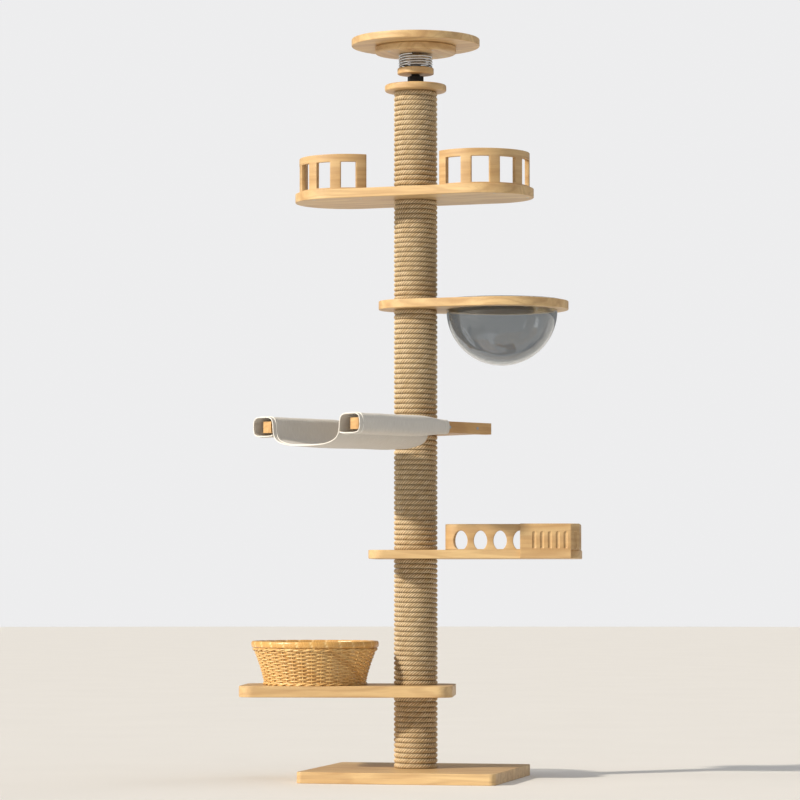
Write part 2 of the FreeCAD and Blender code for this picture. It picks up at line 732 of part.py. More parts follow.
bind(arches, "Length", of["arch_pitch"] * (of["arch_count"] - 1))
bind(arches, "Occurrences", of["arch_count"])
rail.Tip = arches
seat(rail, 0, 0, arch_top, of["arch_yaw"])


def fluted_panel(length, drop, first_flute, flutes):
    """Upright panel along +X from its own origin, back face at +Y, that hangs below Z = 0 by drop."""
    owner = body()
    plan = sketch(owner, "XY_Plane")
    draw_outline(plan, [(ZERO, ZERO), (length, ZERO), (length, of["panel_thick"]), (ZERO, of["panel_thick"])])
    pad(owner, plan, drop + of["panel_rise"])
    groove_plan = sketch(owner, "XZ_Plane")
    half = of["flute_width"] / 2
    low = drop + of["flute_base"] + half
    high = drop + of["flute_base"] + of["flute_length"] - half
    chamfer = half * of["flute_nose"]
    draw_outline(groove_plan, [
        (first_flute - chamfer, low - half), (first_flute + chamfer, low - half), (first_flute + half, low),
        (first_flute + half, high), (first_flute + chamfer, high + half),
        (first_flute - chamfer, high + half), (first_flute - half, high), (first_flute - half, low)])
    groove = owner.newObject("PartDesign::Pocket", "Flute")
    groove.Profile = groove_plan
    bind(groove, "Length", of["flute_depth"])
    doc.recompute()
    if int(flutes.number) > 1:
        row = owner.newObject("PartDesign::LinearPattern", "Flutes")
        row.Originals = [groove]
        row.Direction = (plan, ["H_Axis"])
        bind(row, "Length", of["flute_pitch"] * (flutes - 1))
        bind(row, "Occurrences", flutes)
        owner.Tip = row
    return owner


panel_end = of["panel_start"] + of["panel_length"]
facet_run = of["facet_width"] * cosine(HALF_SQUARE)
panel_face = front_edge - of["panel_thick"]


def stand_panel(panel, x, y, z, turn):
    x, y = swing(x, y, of["arch_yaw"])
    return seat(panel, x, y, z, of["arch_yaw"] + turn)


front_panel = stand_panel(
    fluted_panel(of["panel_length"], of["arch_board_thick"], of["front_flute_first"], of["front_flutes"]),
    of["panel_start"], panel_face, arch_level, 0)
side_flute = (of["side_panel_length"] - of["flute_pitch"] * (of["side_flutes"] - 1)) / 2
side_panel = stand_panel(
    fluted_panel(of["side_panel_length"], ZERO, side_flute, of["side_flutes"]),
    panel_end + facet_run, panel_face + facet_run, arch_top, SQUARE)
corner_panel = stand_panel(
    fluted_panel(of["facet_width"], ZERO, of["facet_width"] / 2, Size(1, "1")),
    panel_end, panel_face, arch_top, HALF_SQUARE)
node("front_panel", front_panel)
node("corner_panel", cut(corner_panel, front_panel, side_panel))

arch_screws = []
rail_middle = front_edge + of["rail_thick"] / 2
side_middle = panel_end + facet_run - of["panel_thick"] / 2
arch_screw_depth = of["arch_board_thick"] + of["panel_screw_bite"]
pier = of["rail_start"] + of["arch_first"] + of["arch_pitch"] / 2
for x, y in ((pier, rail_middle), (pier + of["arch_pitch"] * 2, rail_middle),
             (side_middle, front_edge + of["side_screw_first"]),
             (side_middle, front_edge + of["side_screw_last"])):
    arch_screws.append(wood_screw(arch_screw_depth, x, y, 0, *UPWARD))
arch_screws = seat(group(*arch_screws), 0, 0, arch_level, of["arch_yaw"])
node("arch_screws", arch_screws)
node("arch_board", cut(arch_board, arch_screws))
node("arch_rail", cut(rail, arch_screws))
node("side_panel", cut(side_panel, arch_screws))

# ---------------------------------------------------------------- hammock

arm_half = of["arm_size"] / 2
spread = of["arm_spacing"] / 2
hub_reach = of["hub_length"] / 2
hub_side = spread - arm_half
hub = body()
hub_plan = sketch(hub, "XY_Plane")
draw_outline(hub_plan, [(-hub_reach, -hub_side), (hub_reach, -hub_side),
                        (hub_reach, hub_side), (-hub_reach, hub_side)])
pad(hub, hub_plan, of["arm_size"])
drill(hub, [(0, 0, stud_hole)])
seat(hub, 0, 0, hub_level, of["hammock_yaw"])


def hammock_arm(side):
    """Square arm with a rounded far end; side is +1 or -1 across the arms."""
    owner = body()
    plan = sketch(owner, "XY_Plane")
    middle = spread * side
    draw_outline(plan, [(-of["arm_near"], middle - arm_half), (of["arm_far"], middle - arm_half),
                        (of["arm_far"], middle + arm_half), (-of["arm_near"], middle + arm_half)])
    pad(owner, plan, of["arm_size"])
    far = of["arm_far"].number
    round_edges(owner, of["arm_round"],
                lambda edge: is_upright(edge) and abs(edge.Vertexes[0].Point.x - far) < 1e-4)
    return seat(owner, 0, 0, hub_level, of["hammock_yaw"])


arm_screws = []
for side, turn in ((1, FROM_BACK), (-1, FROM_FRONT)):
    for along in (-1, 1):
        arm_screws.append(wood_screw(of["arm_size"] + of["arm_screw_bite"], of["arm_screw_reach"] * along,
                                     (spread + arm_half) * side, arm_half, *turn))
arm_screws = seat(group(*arm_screws), 0, 0, hub_level, of["hammock_yaw"])
node("arm_screws", arm_screws)
node("hammock_hub", cut(hub, arm_screws))
node("hammock_arm_left", cut(hammock_arm(1), arm_screws))
node("hammock_arm_right", cut(hammock_arm(-1), arm_screws))

sleeve_length = of["cloth_near"] - of["cloth_far"]
sleeves = []
for side in (1, -1):
    middle = spread * side
    outer = box(sleeve_length, of["sleeve_width"], of["sleeve_height"], -of["cloth_near"],
                middle - of["sleeve_width"] / 2, -of["sleeve_height"] / 2)
    inner_width = of["sleeve_width"] - of["cloth_thick"] * 2
    inner_height = of["sleeve_height"] - of["cloth_thick"] * 2
    hollow = box(sleeve_length - of["cloth_thick"], inner_width, inner_height, -of["cloth_near"],
                 middle - inner_width / 2, -inner_height / 2)
    cuff = box(sleeve_length, of["arm_size"], of["arm_size"], -of["cloth_near"],
               middle - arm_half, -arm_half)
    sleeves.append(cut(outer, hollow, cuff))
trough = body()
trough_plan = sketch(trough, "YZ_Plane")
trough_side = spread - of["sleeve_width"] / 2
brim = of["sleeve_height"] / 2
sag = of["trough_sag"]
trough_turn = trough_side * of["trough_turn"]
trough_turn_level = -sag * of["trough_turn_depth"]
trough_flat = trough_side * of["trough_flat"]
cloth = of["cloth_thick"]
inner_half = [(trough_side - cloth, brim), (trough_side - cloth, cloth - brim),
              (trough_turn - cloth / 2, trough_turn_level + cloth), (trough_flat, cloth - sag)]
outer_half = [(trough_side, brim), (trough_side, -brim + cloth / 2),
              (trough_turn, trough_turn_level), (trough_flat, -sag)]
draw_outline(trough_plan,
             outer_half + [(-y, z) for y, z in reversed(outer_half)]
             + [(-y, z) for y, z in inner_half] + list(reversed(inner_half)))
trough_end = size_max(hub_reach, wrap_dia / 2) + of["trough_gap"]
pad(trough, trough_plan, of["cloth_near"] - trough_end)
seat(trough, -of["cloth_near"], 0, 0)
slot_half = arm_half + of["hub_slot_gap"]
hub_slot = box(hub_reach * 2, hub_side * 2, slot_half * 2, -trough_end, -hub_side, -slot_half)
hung_cloth = cut(fuse(trough, *sleeves), hub_slot)
node("hammock_cloth", seat(hung_cloth, 0, 0, hub_level + arm_half, of["hammock_yaw"]))

# ---------------------------------------------------------------- bowl shelf

bowl_hole = of["bowl_dia"] + of["ring_play"]
node("ring_board", seat(
    paddle_board(0, of["ring_root_dia"] / 2, of["ring_offset"], of["ring_dia"] / 2, of["ring_board_thick"],
                 of["board_edge"], [(0, 0, stud_hole), (of["ring_offset"], 0, bowl_hole)]),
    0, 0, ring_level, of["ring_yaw"]))


def half_ball(radius, z):
    """Lower half of a ball."""
    thing = doc.addObject("Part::Sphere", "Sphere")
    bind(thing, "Radius", radius)
    thing.Angle1 = -90
    thing.Angle2 = 0
    return seat(thing, 0, 0, z)


bowl_inner_dia = of["bowl_dia"] - of["bowl_wall"] * 2
bowl_neck = of["ring_board_thick"]
bowl = fuse(cut(half_ball(of["bowl_dia"] / 2, 0), half_ball(bowl_inner_dia / 2, 0)),
            ring(of["bowl_dia"], bowl_inner_dia, bowl_neck),
            ring(of["bowl_flange_dia"], bowl_inner_dia, of["bowl_flange_thick"], 0, 0, bowl_neck))
bowl_x, bowl_y = swing(of["ring_offset"], 0, of["ring_yaw"])
node("acrylic_bowl", seat(bowl, bowl_x, bowl_y, ring_level))

# ---------------------------------------------------------------- fence shelf

fence_foot = fence_level + of["fence_board_thick"]
fence_board = seat(
    paddle_board(-of["fence_left_span"], of["fence_end_dia"] / 2, of["fence_right_span"],
                 of["fence_end_dia"] / 2, of["fence_board_thick"], of["board_edge"], [(0, 0, stud_hole)]),
    0, 0, fence_level, of["fence_yaw"])
gap_height = of["fence_height"] - of["fence_sill"] - of["fence_top"]
slats = of["fence_gaps"] + 1


def fence(side, span, pitch, first_slat):
    """Bent rail with slats round one end of the shelf; side is +1 or -1 along the shelf."""
    middle = span * side
    start = first_slat - of["slat_angle"] / 2

    def wedge(dia, height, z, first, sector):
        return cylinder(dia, height, middle, 0, z, sector, first if side > 0 else 180 + -first - sector)
    band = wedge(of["fence_dia"], of["fence_height"], 0, start, pitch * of["fence_gaps"] + of["slat_angle"])
    inside = cylinder(of["fence_dia"] - of["fence_thick"] * 2, of["fence_height"], middle)
    gaps = [wedge(of["fence_dia"] + of["fence_thick"], gap_height, of["fence_sill"],
                  start + of["slat_angle"] + pitch * place, pitch - of["slat_angle"])
            for place in range(int(of["fence_gaps"].number))]
    return seat(cut(band, inside, *gaps), 0, 0, fence_foot, of["fence_yaw"])


fences = {"fence_right": (1, of["fence_right_span"], of["fence_right_pitch"], of["fence_right_first"]),
          "fence_left": (-1, of["fence_left_span"], of["fence_left_pitch"], of["fence_left_first"])}
fence_screws = []
fence_middle = (of["fence_dia"] - of["fence_thick"]) / 2
for side, span, pitch, first_slat in fences.values():
    for place in range(0, int(slats.number), 2):
        angle = first_slat + pitch * place
        fence_screws.append(wood_screw(
            of["fence_board_thick"] + of["panel_screw_bite"], (span + fence_middle * cosine(angle)) * side,
            fence_middle * sine(angle), 0, *UPWARD))
fence_screws = seat(group(*fence_screws), 0, 0, fence_level, of["fence_yaw"])
node("fence_screws", fence_screws)
node("fence_board", cut(fence_board, fence_screws))
for label, where in fences.items():
    node(label, cut(fence(*where), fence_screws))

# ---------------------------------------------------------------- check and write

doc.recompute()
faults = [item.Name + " (" + item.Label + ")" for item in doc.Objects
          if "Invalid" in item.State or "Error" in item.State]
for label, thing in nodes.items():
    if thing.Label != label:
        faults.append("two objects want the name " + label)
    if thing.Shape.isNull() or not thing.Shape.isValid():
        faults.append(label + " has no valid shape")
if faults:
    raise RuntimeError("not written: " + ", ".join(faults))

os.makedirs("parts", exist_ok=True)
for label, thing in nodes.items():
    thing.Shape.exportStep(os.path.join("parts", label + ".step"))
    print("%-20s %3d solid(s) %12.1f mm3" % (label, len(thing.Shape.Solids), thing.Shape.Volume))
print(len(nodes), "nodes")
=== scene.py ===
"""Floor-to-ceiling cat tree: sisal-wound post, four turnable birch shelves, a hammock and a sprung jack."""
import json
import math

import bmesh
import bpy
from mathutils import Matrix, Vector, noise
from mathutils.geometry import tessellate_polygon

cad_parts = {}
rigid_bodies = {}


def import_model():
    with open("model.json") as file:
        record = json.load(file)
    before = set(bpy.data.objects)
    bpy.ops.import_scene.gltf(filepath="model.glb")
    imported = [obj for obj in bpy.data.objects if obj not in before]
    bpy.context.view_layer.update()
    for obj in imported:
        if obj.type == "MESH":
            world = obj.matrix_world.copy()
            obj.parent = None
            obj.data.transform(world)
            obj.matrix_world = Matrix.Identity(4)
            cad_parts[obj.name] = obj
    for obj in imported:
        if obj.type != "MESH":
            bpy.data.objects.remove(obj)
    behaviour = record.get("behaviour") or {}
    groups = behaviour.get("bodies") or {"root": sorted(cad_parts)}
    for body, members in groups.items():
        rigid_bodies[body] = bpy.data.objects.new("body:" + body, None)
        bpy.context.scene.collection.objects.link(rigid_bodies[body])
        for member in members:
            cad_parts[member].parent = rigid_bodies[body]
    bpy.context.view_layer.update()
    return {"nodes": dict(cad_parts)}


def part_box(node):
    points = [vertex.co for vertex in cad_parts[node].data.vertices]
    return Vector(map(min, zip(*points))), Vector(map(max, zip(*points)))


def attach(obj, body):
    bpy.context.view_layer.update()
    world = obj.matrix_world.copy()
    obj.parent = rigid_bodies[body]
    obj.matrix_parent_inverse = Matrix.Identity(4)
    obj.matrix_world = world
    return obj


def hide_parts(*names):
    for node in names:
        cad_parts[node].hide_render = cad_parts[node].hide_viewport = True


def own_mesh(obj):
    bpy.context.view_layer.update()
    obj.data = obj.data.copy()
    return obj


for left_over in list(bpy.data.objects):
    bpy.data.objects.remove(left_over)
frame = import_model()

# ---------------------------------------------------------------- sizes, metres and degrees

BASKET_YAW, ARCH_YAW, HAMMOCK_YAW, RING_YAW, FENCE_YAW = 189, 8, 57, 12, -8
WRAP_RADIUS = 0.071
WRAP_TURNS = (14, 26, 23, 23, 21, 20)
WRAP_FIRST, WRAP_STEPS = 130, 96
ROPE_LAY = 0.038
ROPE_JOG = 0.22

MM = 0.001


def level(node, top=False):
    """Height of the bottom or the top of a CAD node."""
    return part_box(node)[1 if top else 0][2]


def middle(node):
    """Centre of a CAD node's box."""
    low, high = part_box(node)
    return (Vector(low) + Vector(high)) / 2


def swing(x, y, z, yaw):
    """A shelf's own point, turned about the post to where the shelf stands."""
    turn = math.radians(yaw)
    return Vector((x * math.cos(turn) - y * math.sin(turn), x * math.sin(turn) + y * math.cos(turn), z))


def round_axis(radius, turn, height=0.0):
    """Point at a radius and a turn, in radians, round an upright axis."""
    return Vector((radius * math.cos(turn), radius * math.sin(turn), height))


def ease(value):
    """Smooth step from 0 to 1."""
    value = min(max(value, 0.0), 1.0)
    return value * value * (3 - 2 * value)


def colour(code):
    """Linear colour of an sRGB hex value."""
    parts = [int(code[at:at + 2], 16) / 255 for at in (1, 3, 5)]
    return [part / 12.92 if part <= 0.04045 else ((part + 0.055) / 1.055) ** 2.4 for part in parts] + [1.0]


def add(tree, kind, links=None, **settings):
    """One node with its settings, a shader node by its short kind; links gives an input, by name or
    number, a socket or a plain value."""
    node = tree.nodes.new(kind if kind.startswith(("GeometryNode", "NodeGroup")) else "ShaderNode" + kind)
    for name, value in settings.items():
        setattr(node, name, value)
    for socket, value in (links or {}).items():
        if isinstance(value, bpy.types.NodeSocket):
            tree.links.new(value, node.inputs[socket])
        else:
            node.inputs[socket].default_value = value
    return node


# ---------------------------------------------------------------- finishes


def finish(name, surface):
    """A new material with one Principled shader; surface gives its sockets."""
    material = bpy.data.materials.new(name)
    material.use_nodes = True
    tree = material.node_tree
    tree.nodes.clear()
    shader = add(tree, "BsdfPrincipled", surface)
    add(tree, "OutputMaterial", {"Surface": shader.outputs[0]})
    return material, tree, shader


def streaks(tree, place, rates, detail, coarse=0.5, warp=0.0):
    """Noise with its own rate, in features per metre, along each axis."""
    place = add(tree, "Mapping", {0: place, 3: rates}).outputs[0]
    return add(tree, "TexNoise", {0: place, 2: 1.0, 3: detail, 4: coarse, 8: warp}).outputs[0]


def feed(tree, shader, sockets):
    """Links patterns to the shader's sockets, by name."""
    for socket, pattern in sockets.items():
        tree.links.new(pattern, shader.inputs[socket])


def birch(name, yaw=0, grain=None, pale="#d8ba88", warm="#c4a06f", line="#a07850"):
    """Lacquered solid birch. The eye gets pale honey boards with faint cathedral figure, fine darker
    pores along the grain and a soft satin gloss. yaw turns the grain with the board; grain names the
    attribute that carries it round a bent or routed piece."""
    material, tree, shader = finish(name, {"Roughness": 0.46, "Coat Weight": 0.12, "Coat Roughness": 0.35})
    if grain:
        place = add(tree, "Attribute", attribute_name=grain).outputs["Vector"]
    else:
        place = add(tree, "TexCoord").outputs["Object"]
        place = add(tree, "Mapping", {0: place, 2: (0, 0, math.radians(-yaw))}).outputs[0]
    # growth figure: contours about 20 mm apart across the board and 300 mm long
    figure = streaks(tree, place, (1.6, 11.0, 13.0), 2.0, 0.45, 0.35)
    rings = add(tree, "Math", {0: figure, 1: 46.0}, operation="MULTIPLY").outputs[0]
    rings = add(tree, "Math", {0: rings}, operation="SINE").outputs[0]
    rings = add(tree, "MapRange", {0: rings, 1: -0.2, 2: 1.0}).outputs[0]
    # pores: real ones are 0.1 mm wide, drawn 2 mm wide so that they show
    pores = streaks(tree, place, (14.0, 480.0, 480.0), 3.0, 0.6)
    flecks = add(tree, "MapRange", {0: pores, 1: 0.5, 2: 0.72}).outputs[0]
    patch = streaks(tree, place, (3.0, 26.0, 26.0), 2.0)
    patch = add(tree, "MapRange", {0: patch, 1: 0.35, 2: 0.68}).outputs[0]
    ground = add(tree, "Mix", {0: patch, 6: colour(pale), 7: colour(warm)}, data_type="RGBA").outputs[2]
    amount = add(tree, "Math", {0: rings, 1: 0.30}, operation="MULTIPLY").outputs[0]
    ground = add(tree, "Mix", {0: amount, 6: ground, 7: colour(line)}, data_type="RGBA").outputs[2]
    amount = add(tree, "Math", {0: flecks, 1: 0.34}, operation="MULTIPLY").outputs[0]
    ground = add(tree, "Mix", {0: amount, 6: ground, 7: colour(line)}, data_type="RGBA").outputs[2]
    bump = add(tree, "Bump", {"Strength": 0.12, "Distance": 0.4 * MM, "Height": pores}).outputs[0]
    rough = add(tree, "MapRange", {0: pores, 1: 0.3, 2: 0.7, 3: 0.40, 4: 0.54}).outputs[0]
    feed(tree, shader, {"Base Color": ground, "Roughness": rough, "Normal": bump})
    return material


def laid_fibre(name, pale, mid, dark, streak, gloss, bump_depth, coat=0.0, groove=None):
    """Fibres that run along a strand. streak is the width of one fibre bundle in metres; the strand
    tree's own attributes carry the pattern round each strand."""
    material, tree, shader = finish(name, {"Roughness": gloss, "Coat Weight": coat, "Coat Roughness": 0.25})
    along = add(tree, "Attribute", attribute_name="along").outputs["Fac"]
    place_across = add(tree, "Attribute", attribute_name="section").outputs["Vector"]
    section = add(tree, "SeparateXYZ", {0: place_across})
    place = add(tree, "CombineXYZ", {0: along, 1: section.outputs[0], 2: section.outputs[1]}).outputs[0]
    fibres = streaks(tree, place, (0.10 / streak, 1 / streak, 1 / streak), 3.0, 0.6)
    lot = streaks(tree, place, (22.0, 60.0, 60.0), 2.0)
    lot = add(tree, "MapRange", {0: lot, 1: 0.35, 2: 0.65}).outputs[0]
    ground = add(tree, "Mix", {0: lot, 6: colour(pale), 7: colour(mid)}, data_type="RGBA").outputs[2]
    tint = add(tree, "MapRange", {0: fibres, 1: 0.46, 2: 0.72, 4: 0.75}).outputs[0]
    ground = add(tree, "Mix", {0: tint, 6: ground, 7: colour(dark)}, data_type="RGBA").outputs[2]
    if groove:
        # painted shade: the grooves between strands are painted darker towards their bottom; groove gives
        # their depth, bottom to crown
        crown = add(tree, "VectorMath", {0: place_across}, operation="LENGTH").outputs["Value"]
        groove_shade = add(tree, "MapRange", {0: crown, 1: groove[0], 2: groove[1], 3: 0.85, 4: 0.0}).outputs[0]
        ground = add(tree, "Mix", {0: groove_shade, 6: ground, 7: colour(dark)}, data_type="RGBA").outputs[2]
    bump = add(tree, "Bump", {"Strength": 0.5, "Distance": bump_depth, "Height": fibres}).outputs[0]
    feed(tree, shader, {"Base Color": ground, "Normal": bump})
    return material


def metal(name, tone, rough, brushed):
    """Steel. The eye gets a cool, tight highlight broken by fine turning or drawing marks brushed
    metres apart, and small changes of gloss from handling."""
    material, tree, shader = finish(name, {"Metallic": 1.0, "Roughness": rough})
    place = add(tree, "TexCoord").outputs["Object"]
    marks = streaks(tree, place, (0.2 / brushed, 0.2 / brushed, 1 / brushed), 2.0)
    smear = add(tree, "TexNoise", {0: place, 2: 60.0, 3: 3.0}).outputs[0]
    ground = add(tree, "Mix", {0: smear, 6: colour(tone[0]), 7: colour(tone[1])},
                 data_type="RGBA").outputs[2]
    gloss = add(tree, "MapRange", {0: smear, 1: 0.3, 2: 0.7, 3: rough * 0.75, 4: rough * 1.35}).outputs[0]
    bump = add(tree, "Bump", {"Strength": 0.15, "Distance": 0.1 * MM, "Height": marks}).outputs[0]
    feed(tree, shader, {"Base Color": ground, "Roughness": gloss, "Normal": bump})
    return material


def wound_paper():
    """Spiral-wound kraft tube. The eye gets matt brown paper with a faint spiral lap."""
    material, tree, shader = finish("kraft paper tube", {"Roughness": 0.85})
    place = add(tree, "TexCoord").outputs["Object"]
    laps = add(tree, "TexWave", {0: place, 1: 9.0, 2: 0.6, 3: 2.0}, bands_direction="Z").outputs[1]
    pulp = add(tree, "TexNoise", {0: place, 2: 400.0, 3: 3.0}).outputs[0]
    mixed = add(tree, "Math", {0: laps, 1: pulp}, operation="MULTIPLY").outputs[0]
    ground = add(tree, "Mix", {0: mixed, 6: colour("#8d7350"), 7: colour("#b4966c")},
                 data_type="RGBA").outputs[2]
    feed(tree, shader, {"Base Color": ground})
    return material


def moulded_nylon():
    """Moulded nylon. The eye gets an off-white waxy bush with a faint moulding texture."""
    material, tree, shader = finish("moulded nylon", {"Roughness": 0.42, "Subsurface Weight": 0.1,
                                                      "Subsurface Scale": 1 * MM})
    place = add(tree, "TexCoord").outputs["Object"]
    skin = add(tree, "TexNoise", {0: place, 2: 900.0, 3: 2.0}).outputs[0]
    cloud = add(tree, "TexNoise", {0: place, 2: 40.0}).outputs[0]
    ground = add(tree, "Mix", {0: cloud, 6: colour("#e6e1d3"), 7: colour("#d6d0bf")},
                 data_type="RGBA").outputs[2]
    bump = add(tree, "Bump", {"Strength": 0.1, "Distance": 0.1 * MM, "Height": skin}).outputs[0]
    feed(tree, shader, {"Base Color": ground, "Normal": bump})
    return material


def canvas_cloth(name, pale, shade, thread):
    """Plain-woven cotton canvas. The eye gets a matt, slightly mottled cloth whose crossing threads
    catch the light, as a painted highlight on the thread crowns and painted shade in the gaps between
    them. Real threads are 0.8 mm apart; they are drawn thread metres apart to show."""
    material, tree, shader = finish(name, {"Roughness": 0.88, "Sheen Weight": 0.25, "Sheen Roughness": 0.4})
    place = add(tree, "UVMap", uv_map="cut").outputs[0]
    rate = math.tau / (20 * thread)
    warp = add(tree, "TexWave", {0: place, 1: rate, 2: 0.5, 3: 1.0, 4: 30.0},
               bands_direction="X").outputs[1]
    weft = add(tree, "TexWave", {0: place, 1: rate, 2: 0.5, 3: 1.0, 4: 30.0},
               bands_direction="Y").outputs[1]
    weave = add(tree, "Math", {0: warp, 1: weft}, operation="MULTIPLY").outputs[0]
    slub = streaks(tree, place, (40.0, 600.0, 1.0), 3.0)
    cloud = add(tree, "TexNoise", {0: place, 2: 14.0, 3: 3.0}).outputs[0]
    # the weave paints a painted highlight on the thread crowns and painted shade between threads; slub and
    # cloud are the cloth's own tone
    amount = add(tree, "Math", {0: weave, 1: 0.55}, operation="MULTIPLY").outputs[0]
    amount = add(tree, "Math", {0: amount, 1: slub}, operation="ADD").outputs[0]
    amount = add(tree, "MapRange", {0: amount, 1: 0.35, 2: 1.05}).outputs[0]
    ground = add(tree, "Mix", {0: amount, 6: colour(shade), 7: colour(pale)}, data_type="RGBA").outputs[2]
    tint = add(tree, "MapRange", {0: cloud, 1: 0.4, 2: 0.7, 4: 0.25}).outputs[0]
    ground = add(tree, "Mix", {0: tint, 6: ground, 7: colour(shade)}, data_type="RGBA").outputs[2]
    bump = add(tree, "Bump", {"Strength": 0.35, "Distance": 0.5 * MM, "Height": weave}).outputs[0]
    feed(tree, shader, {"Base Color": ground, "Normal": bump})
    return material


def cast_acrylic():
    """Clear cast acrylic. The eye gets a glassy bowl with a faint grey tint, a painted reflection that
    stands in for the dark surroundings mirrored in it, crisp reflections and a few hair scratches that
    soften them."""
    material, tree, shader = finish("clear cast acrylic", {
        # the grey base colour is painted reflection of dark surroundings
        "Base Color": colour("#dfe3e5"), "Roughness": 0.03, "IOR": 1.49, "Transmission Weight": 1.0})
    place = add(tree, "TexCoord").outputs["Object"]
    hair = streaks(tree, place, (30.0, 900.0, 300.0), 2.0)
    gloss = add(tree, "MapRange", {0: hair, 1: 0.55, 2: 0.75, 3: 0.02, 4: 0.07}).outputs[0]
    feed(tree, shader, {"Roughness": gloss})
    return material


def rattan_wrap():
    """Split rattan wound round the rim. The eye gets glossy honey bands with fine lines across the
    rim and a paler band at the end of each lap."""
    material, tree, shader = finish("split rattan wrap", {"Roughness": 0.4, "Coat Weight": 0.3,
                                                          "Coat Roughness": 0.2})
    place = add(tree, "Attribute", attribute_name="lap").outputs["Vector"]
    edge = add(tree, "Attribute", attribute_name="edge").outputs["Fac"]
    strips = streaks(tree, place, (420.0, 16.0, 1.0), 3.0)
    tone = add(tree, "MapRange", {0: strips, 1: 0.35, 2: 0.7}).outputs[0]
    ground = add(tree, "Mix", {0: tone, 6: colour("#deb168"), 7: colour("#b98440")},
                 data_type="RGBA").outputs[2]
    ground = add(tree, "Mix", {0: edge, 6: ground, 7: colour("#ecca8c")}, data_type="RGBA").outputs[2]
    bump = add(tree, "Bump", {"Strength": 0.3, "Distance": 0.4 * MM, "Height": strips}).outputs[0]
    feed(tree, shader, {"Base Color": ground, "Normal": bump})
    return material


# painted shade: the bent fences, rail and panels take a darker copy of the birch for the shade they stand
# in
SHADE_DARKENED_BIRCH = birch("bent birch", grain="grain", pale="#cfb080", warm="#bb9766")
SISAL = laid_fibre("sisal rope", "#e2cfad", "#d0b890", "#7d6545", 1.6 * MM, 0.8, 0.5 * MM,
                   groove=(5.6 * MM, 7.4 * MM))
RATTAN = laid_fibre("varnished rattan", "#ecc988", "#dbae6a", "#8f6230", 1.0 * MM, 0.42, 0.2 * MM, coat=0.3)
RATTAN_WRAP = rattan_wrap()
PIPING = laid_fibre("cotton piping", "#f4f3ef", "#e9e7e1", "#cfccc4", 0.8 * MM, 0.8, 0.2 * MM)
CANVAS = canvas_cloth("grey cotton canvas", "#dcdad5", "#c2bfb9", 2.4 * MM)
ZINC = metal("zinc-plated steel", ("#c4c8cc", "#a3a8ae"), 0.32, 0.5 * MM)
BLACK_STEEL = metal("black-oxide steel", ("#2c2b2b", "#3a3836"), 0.38, 0.5 * MM)
SPRING_STEEL = metal("bright spring steel", ("#d9dadb", "#b9bbbd"), 0.16, 0.4 * MM)
ACRYLIC = cast_acrylic()

# ---------------------------------------------------------------- pieces


def show(name, mesh, *materials):
    """A new object for a mesh that already lies where it belongs."""
    for material in materials:
        mesh.materials.append(material)
    piece = bpy.data.objects.new(name, mesh)
    bpy.context.scene.collection.objects.link(piece)
    return piece


def settle(piece, body, slot, *nodes):
    """The piece rides on a CAD body and stands for its CAD nodes, which are hidden; slot is not used."""
    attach(piece, body)
    if nodes:
        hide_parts(*nodes)
    return piece


def bare_mesh(name, points, faces=(), edges=()):
    mesh = bpy.data.meshes.new(name)
    mesh.from_pydata([tuple(point) for point in points], list(edges), list(faces))
    mesh.update()
    return mesh


def note(mesh, name, values, kind="FLOAT_VECTOR"):
    """Stores one value for each point of the mesh."""
    layer = mesh.attributes.new(name, kind, "POINT")
    for item, value in zip(layer.data, values):
        if kind == "FLOAT":
            item.value = value
        else:
            item.vector = value


def outward(mesh, smooth_below=25):
    """Turns a closed shell's faces outwards and smooths the shading across its shallow edges."""
    shell = bmesh.new()
    shell.from_mesh(mesh)
    bmesh.ops.remove_doubles(shell, verts=shell.verts, dist=0.01 * MM)
    bmesh.ops.recalc_face_normals(shell, faces=shell.faces)
    shell.to_mesh(mesh)
    shell.free()
    mesh.shade_smooth()
    mesh.set_sharp_from_angle(angle=math.radians(smooth_below))
    return mesh


def lathe(name, profile, centre, steps):
    """Spins a closed profile of (radius, height) round an upright axis."""
    points, rings, faces = [], [], []
    for radius, height in profile:
        if radius < 0.001 * MM:
            rings.append([len(points)] * steps)
            points.append(centre + Vector((0, 0, height)))
            continue
        rings.append(list(range(len(points), len(points) + steps)))
        for step in range(steps):
            turn = math.tau * step / steps
            points.append(centre + round_axis(radius, turn, height))
    for low, high in zip(rings, rings[1:] + rings[:1]):
        for step in range(steps):
            after = (step + 1) % steps
            face = list(dict.fromkeys([low[step], low[after], high[after], high[step]]))
            if len(face) > 2:
                faces.append(face)
    return outward(bare_mesh(name, points, faces))


def path_tree(name, inputs):
    """A tree that takes paths and named inputs; gives back the tree, its inputs and the paths as curves."""
    tree = bpy.data.node_groups.new(name, "GeometryNodeTree")
    sockets = [("Paths", "Geometry")] + inputs + [("Finish", "Material")]
    for label, kind in sockets:
        tree.interface.new_socket(label, in_out="INPUT", socket_type="NodeSocket" + kind)
    tree.interface.new_socket("Piece", in_out="OUTPUT", socket_type="NodeSocketGeometry")
    given = add(tree, "NodeGroupInput").outputs
    return tree, given, add(tree, "GeometryNodeMeshToCurve", {"Mesh": given["Paths"]}).outputs[0]


def hand_over(tree, piece, look):
    """Ends a tree: smooth shading, real meshes, one finish."""
    piece = add(tree, "GeometryNodeSetShadeSmooth", {"Geometry": piece}).outputs[0]
    piece = add(tree, "GeometryNodeRealizeInstances", {"Geometry": piece}).outputs[0]
    piece = add(tree, "GeometryNodeSetMaterial", {"Geometry": piece, "Material": look}).outputs[0]
    add(tree, "NodeGroupOutput", {"Piece": piece})
    return tree


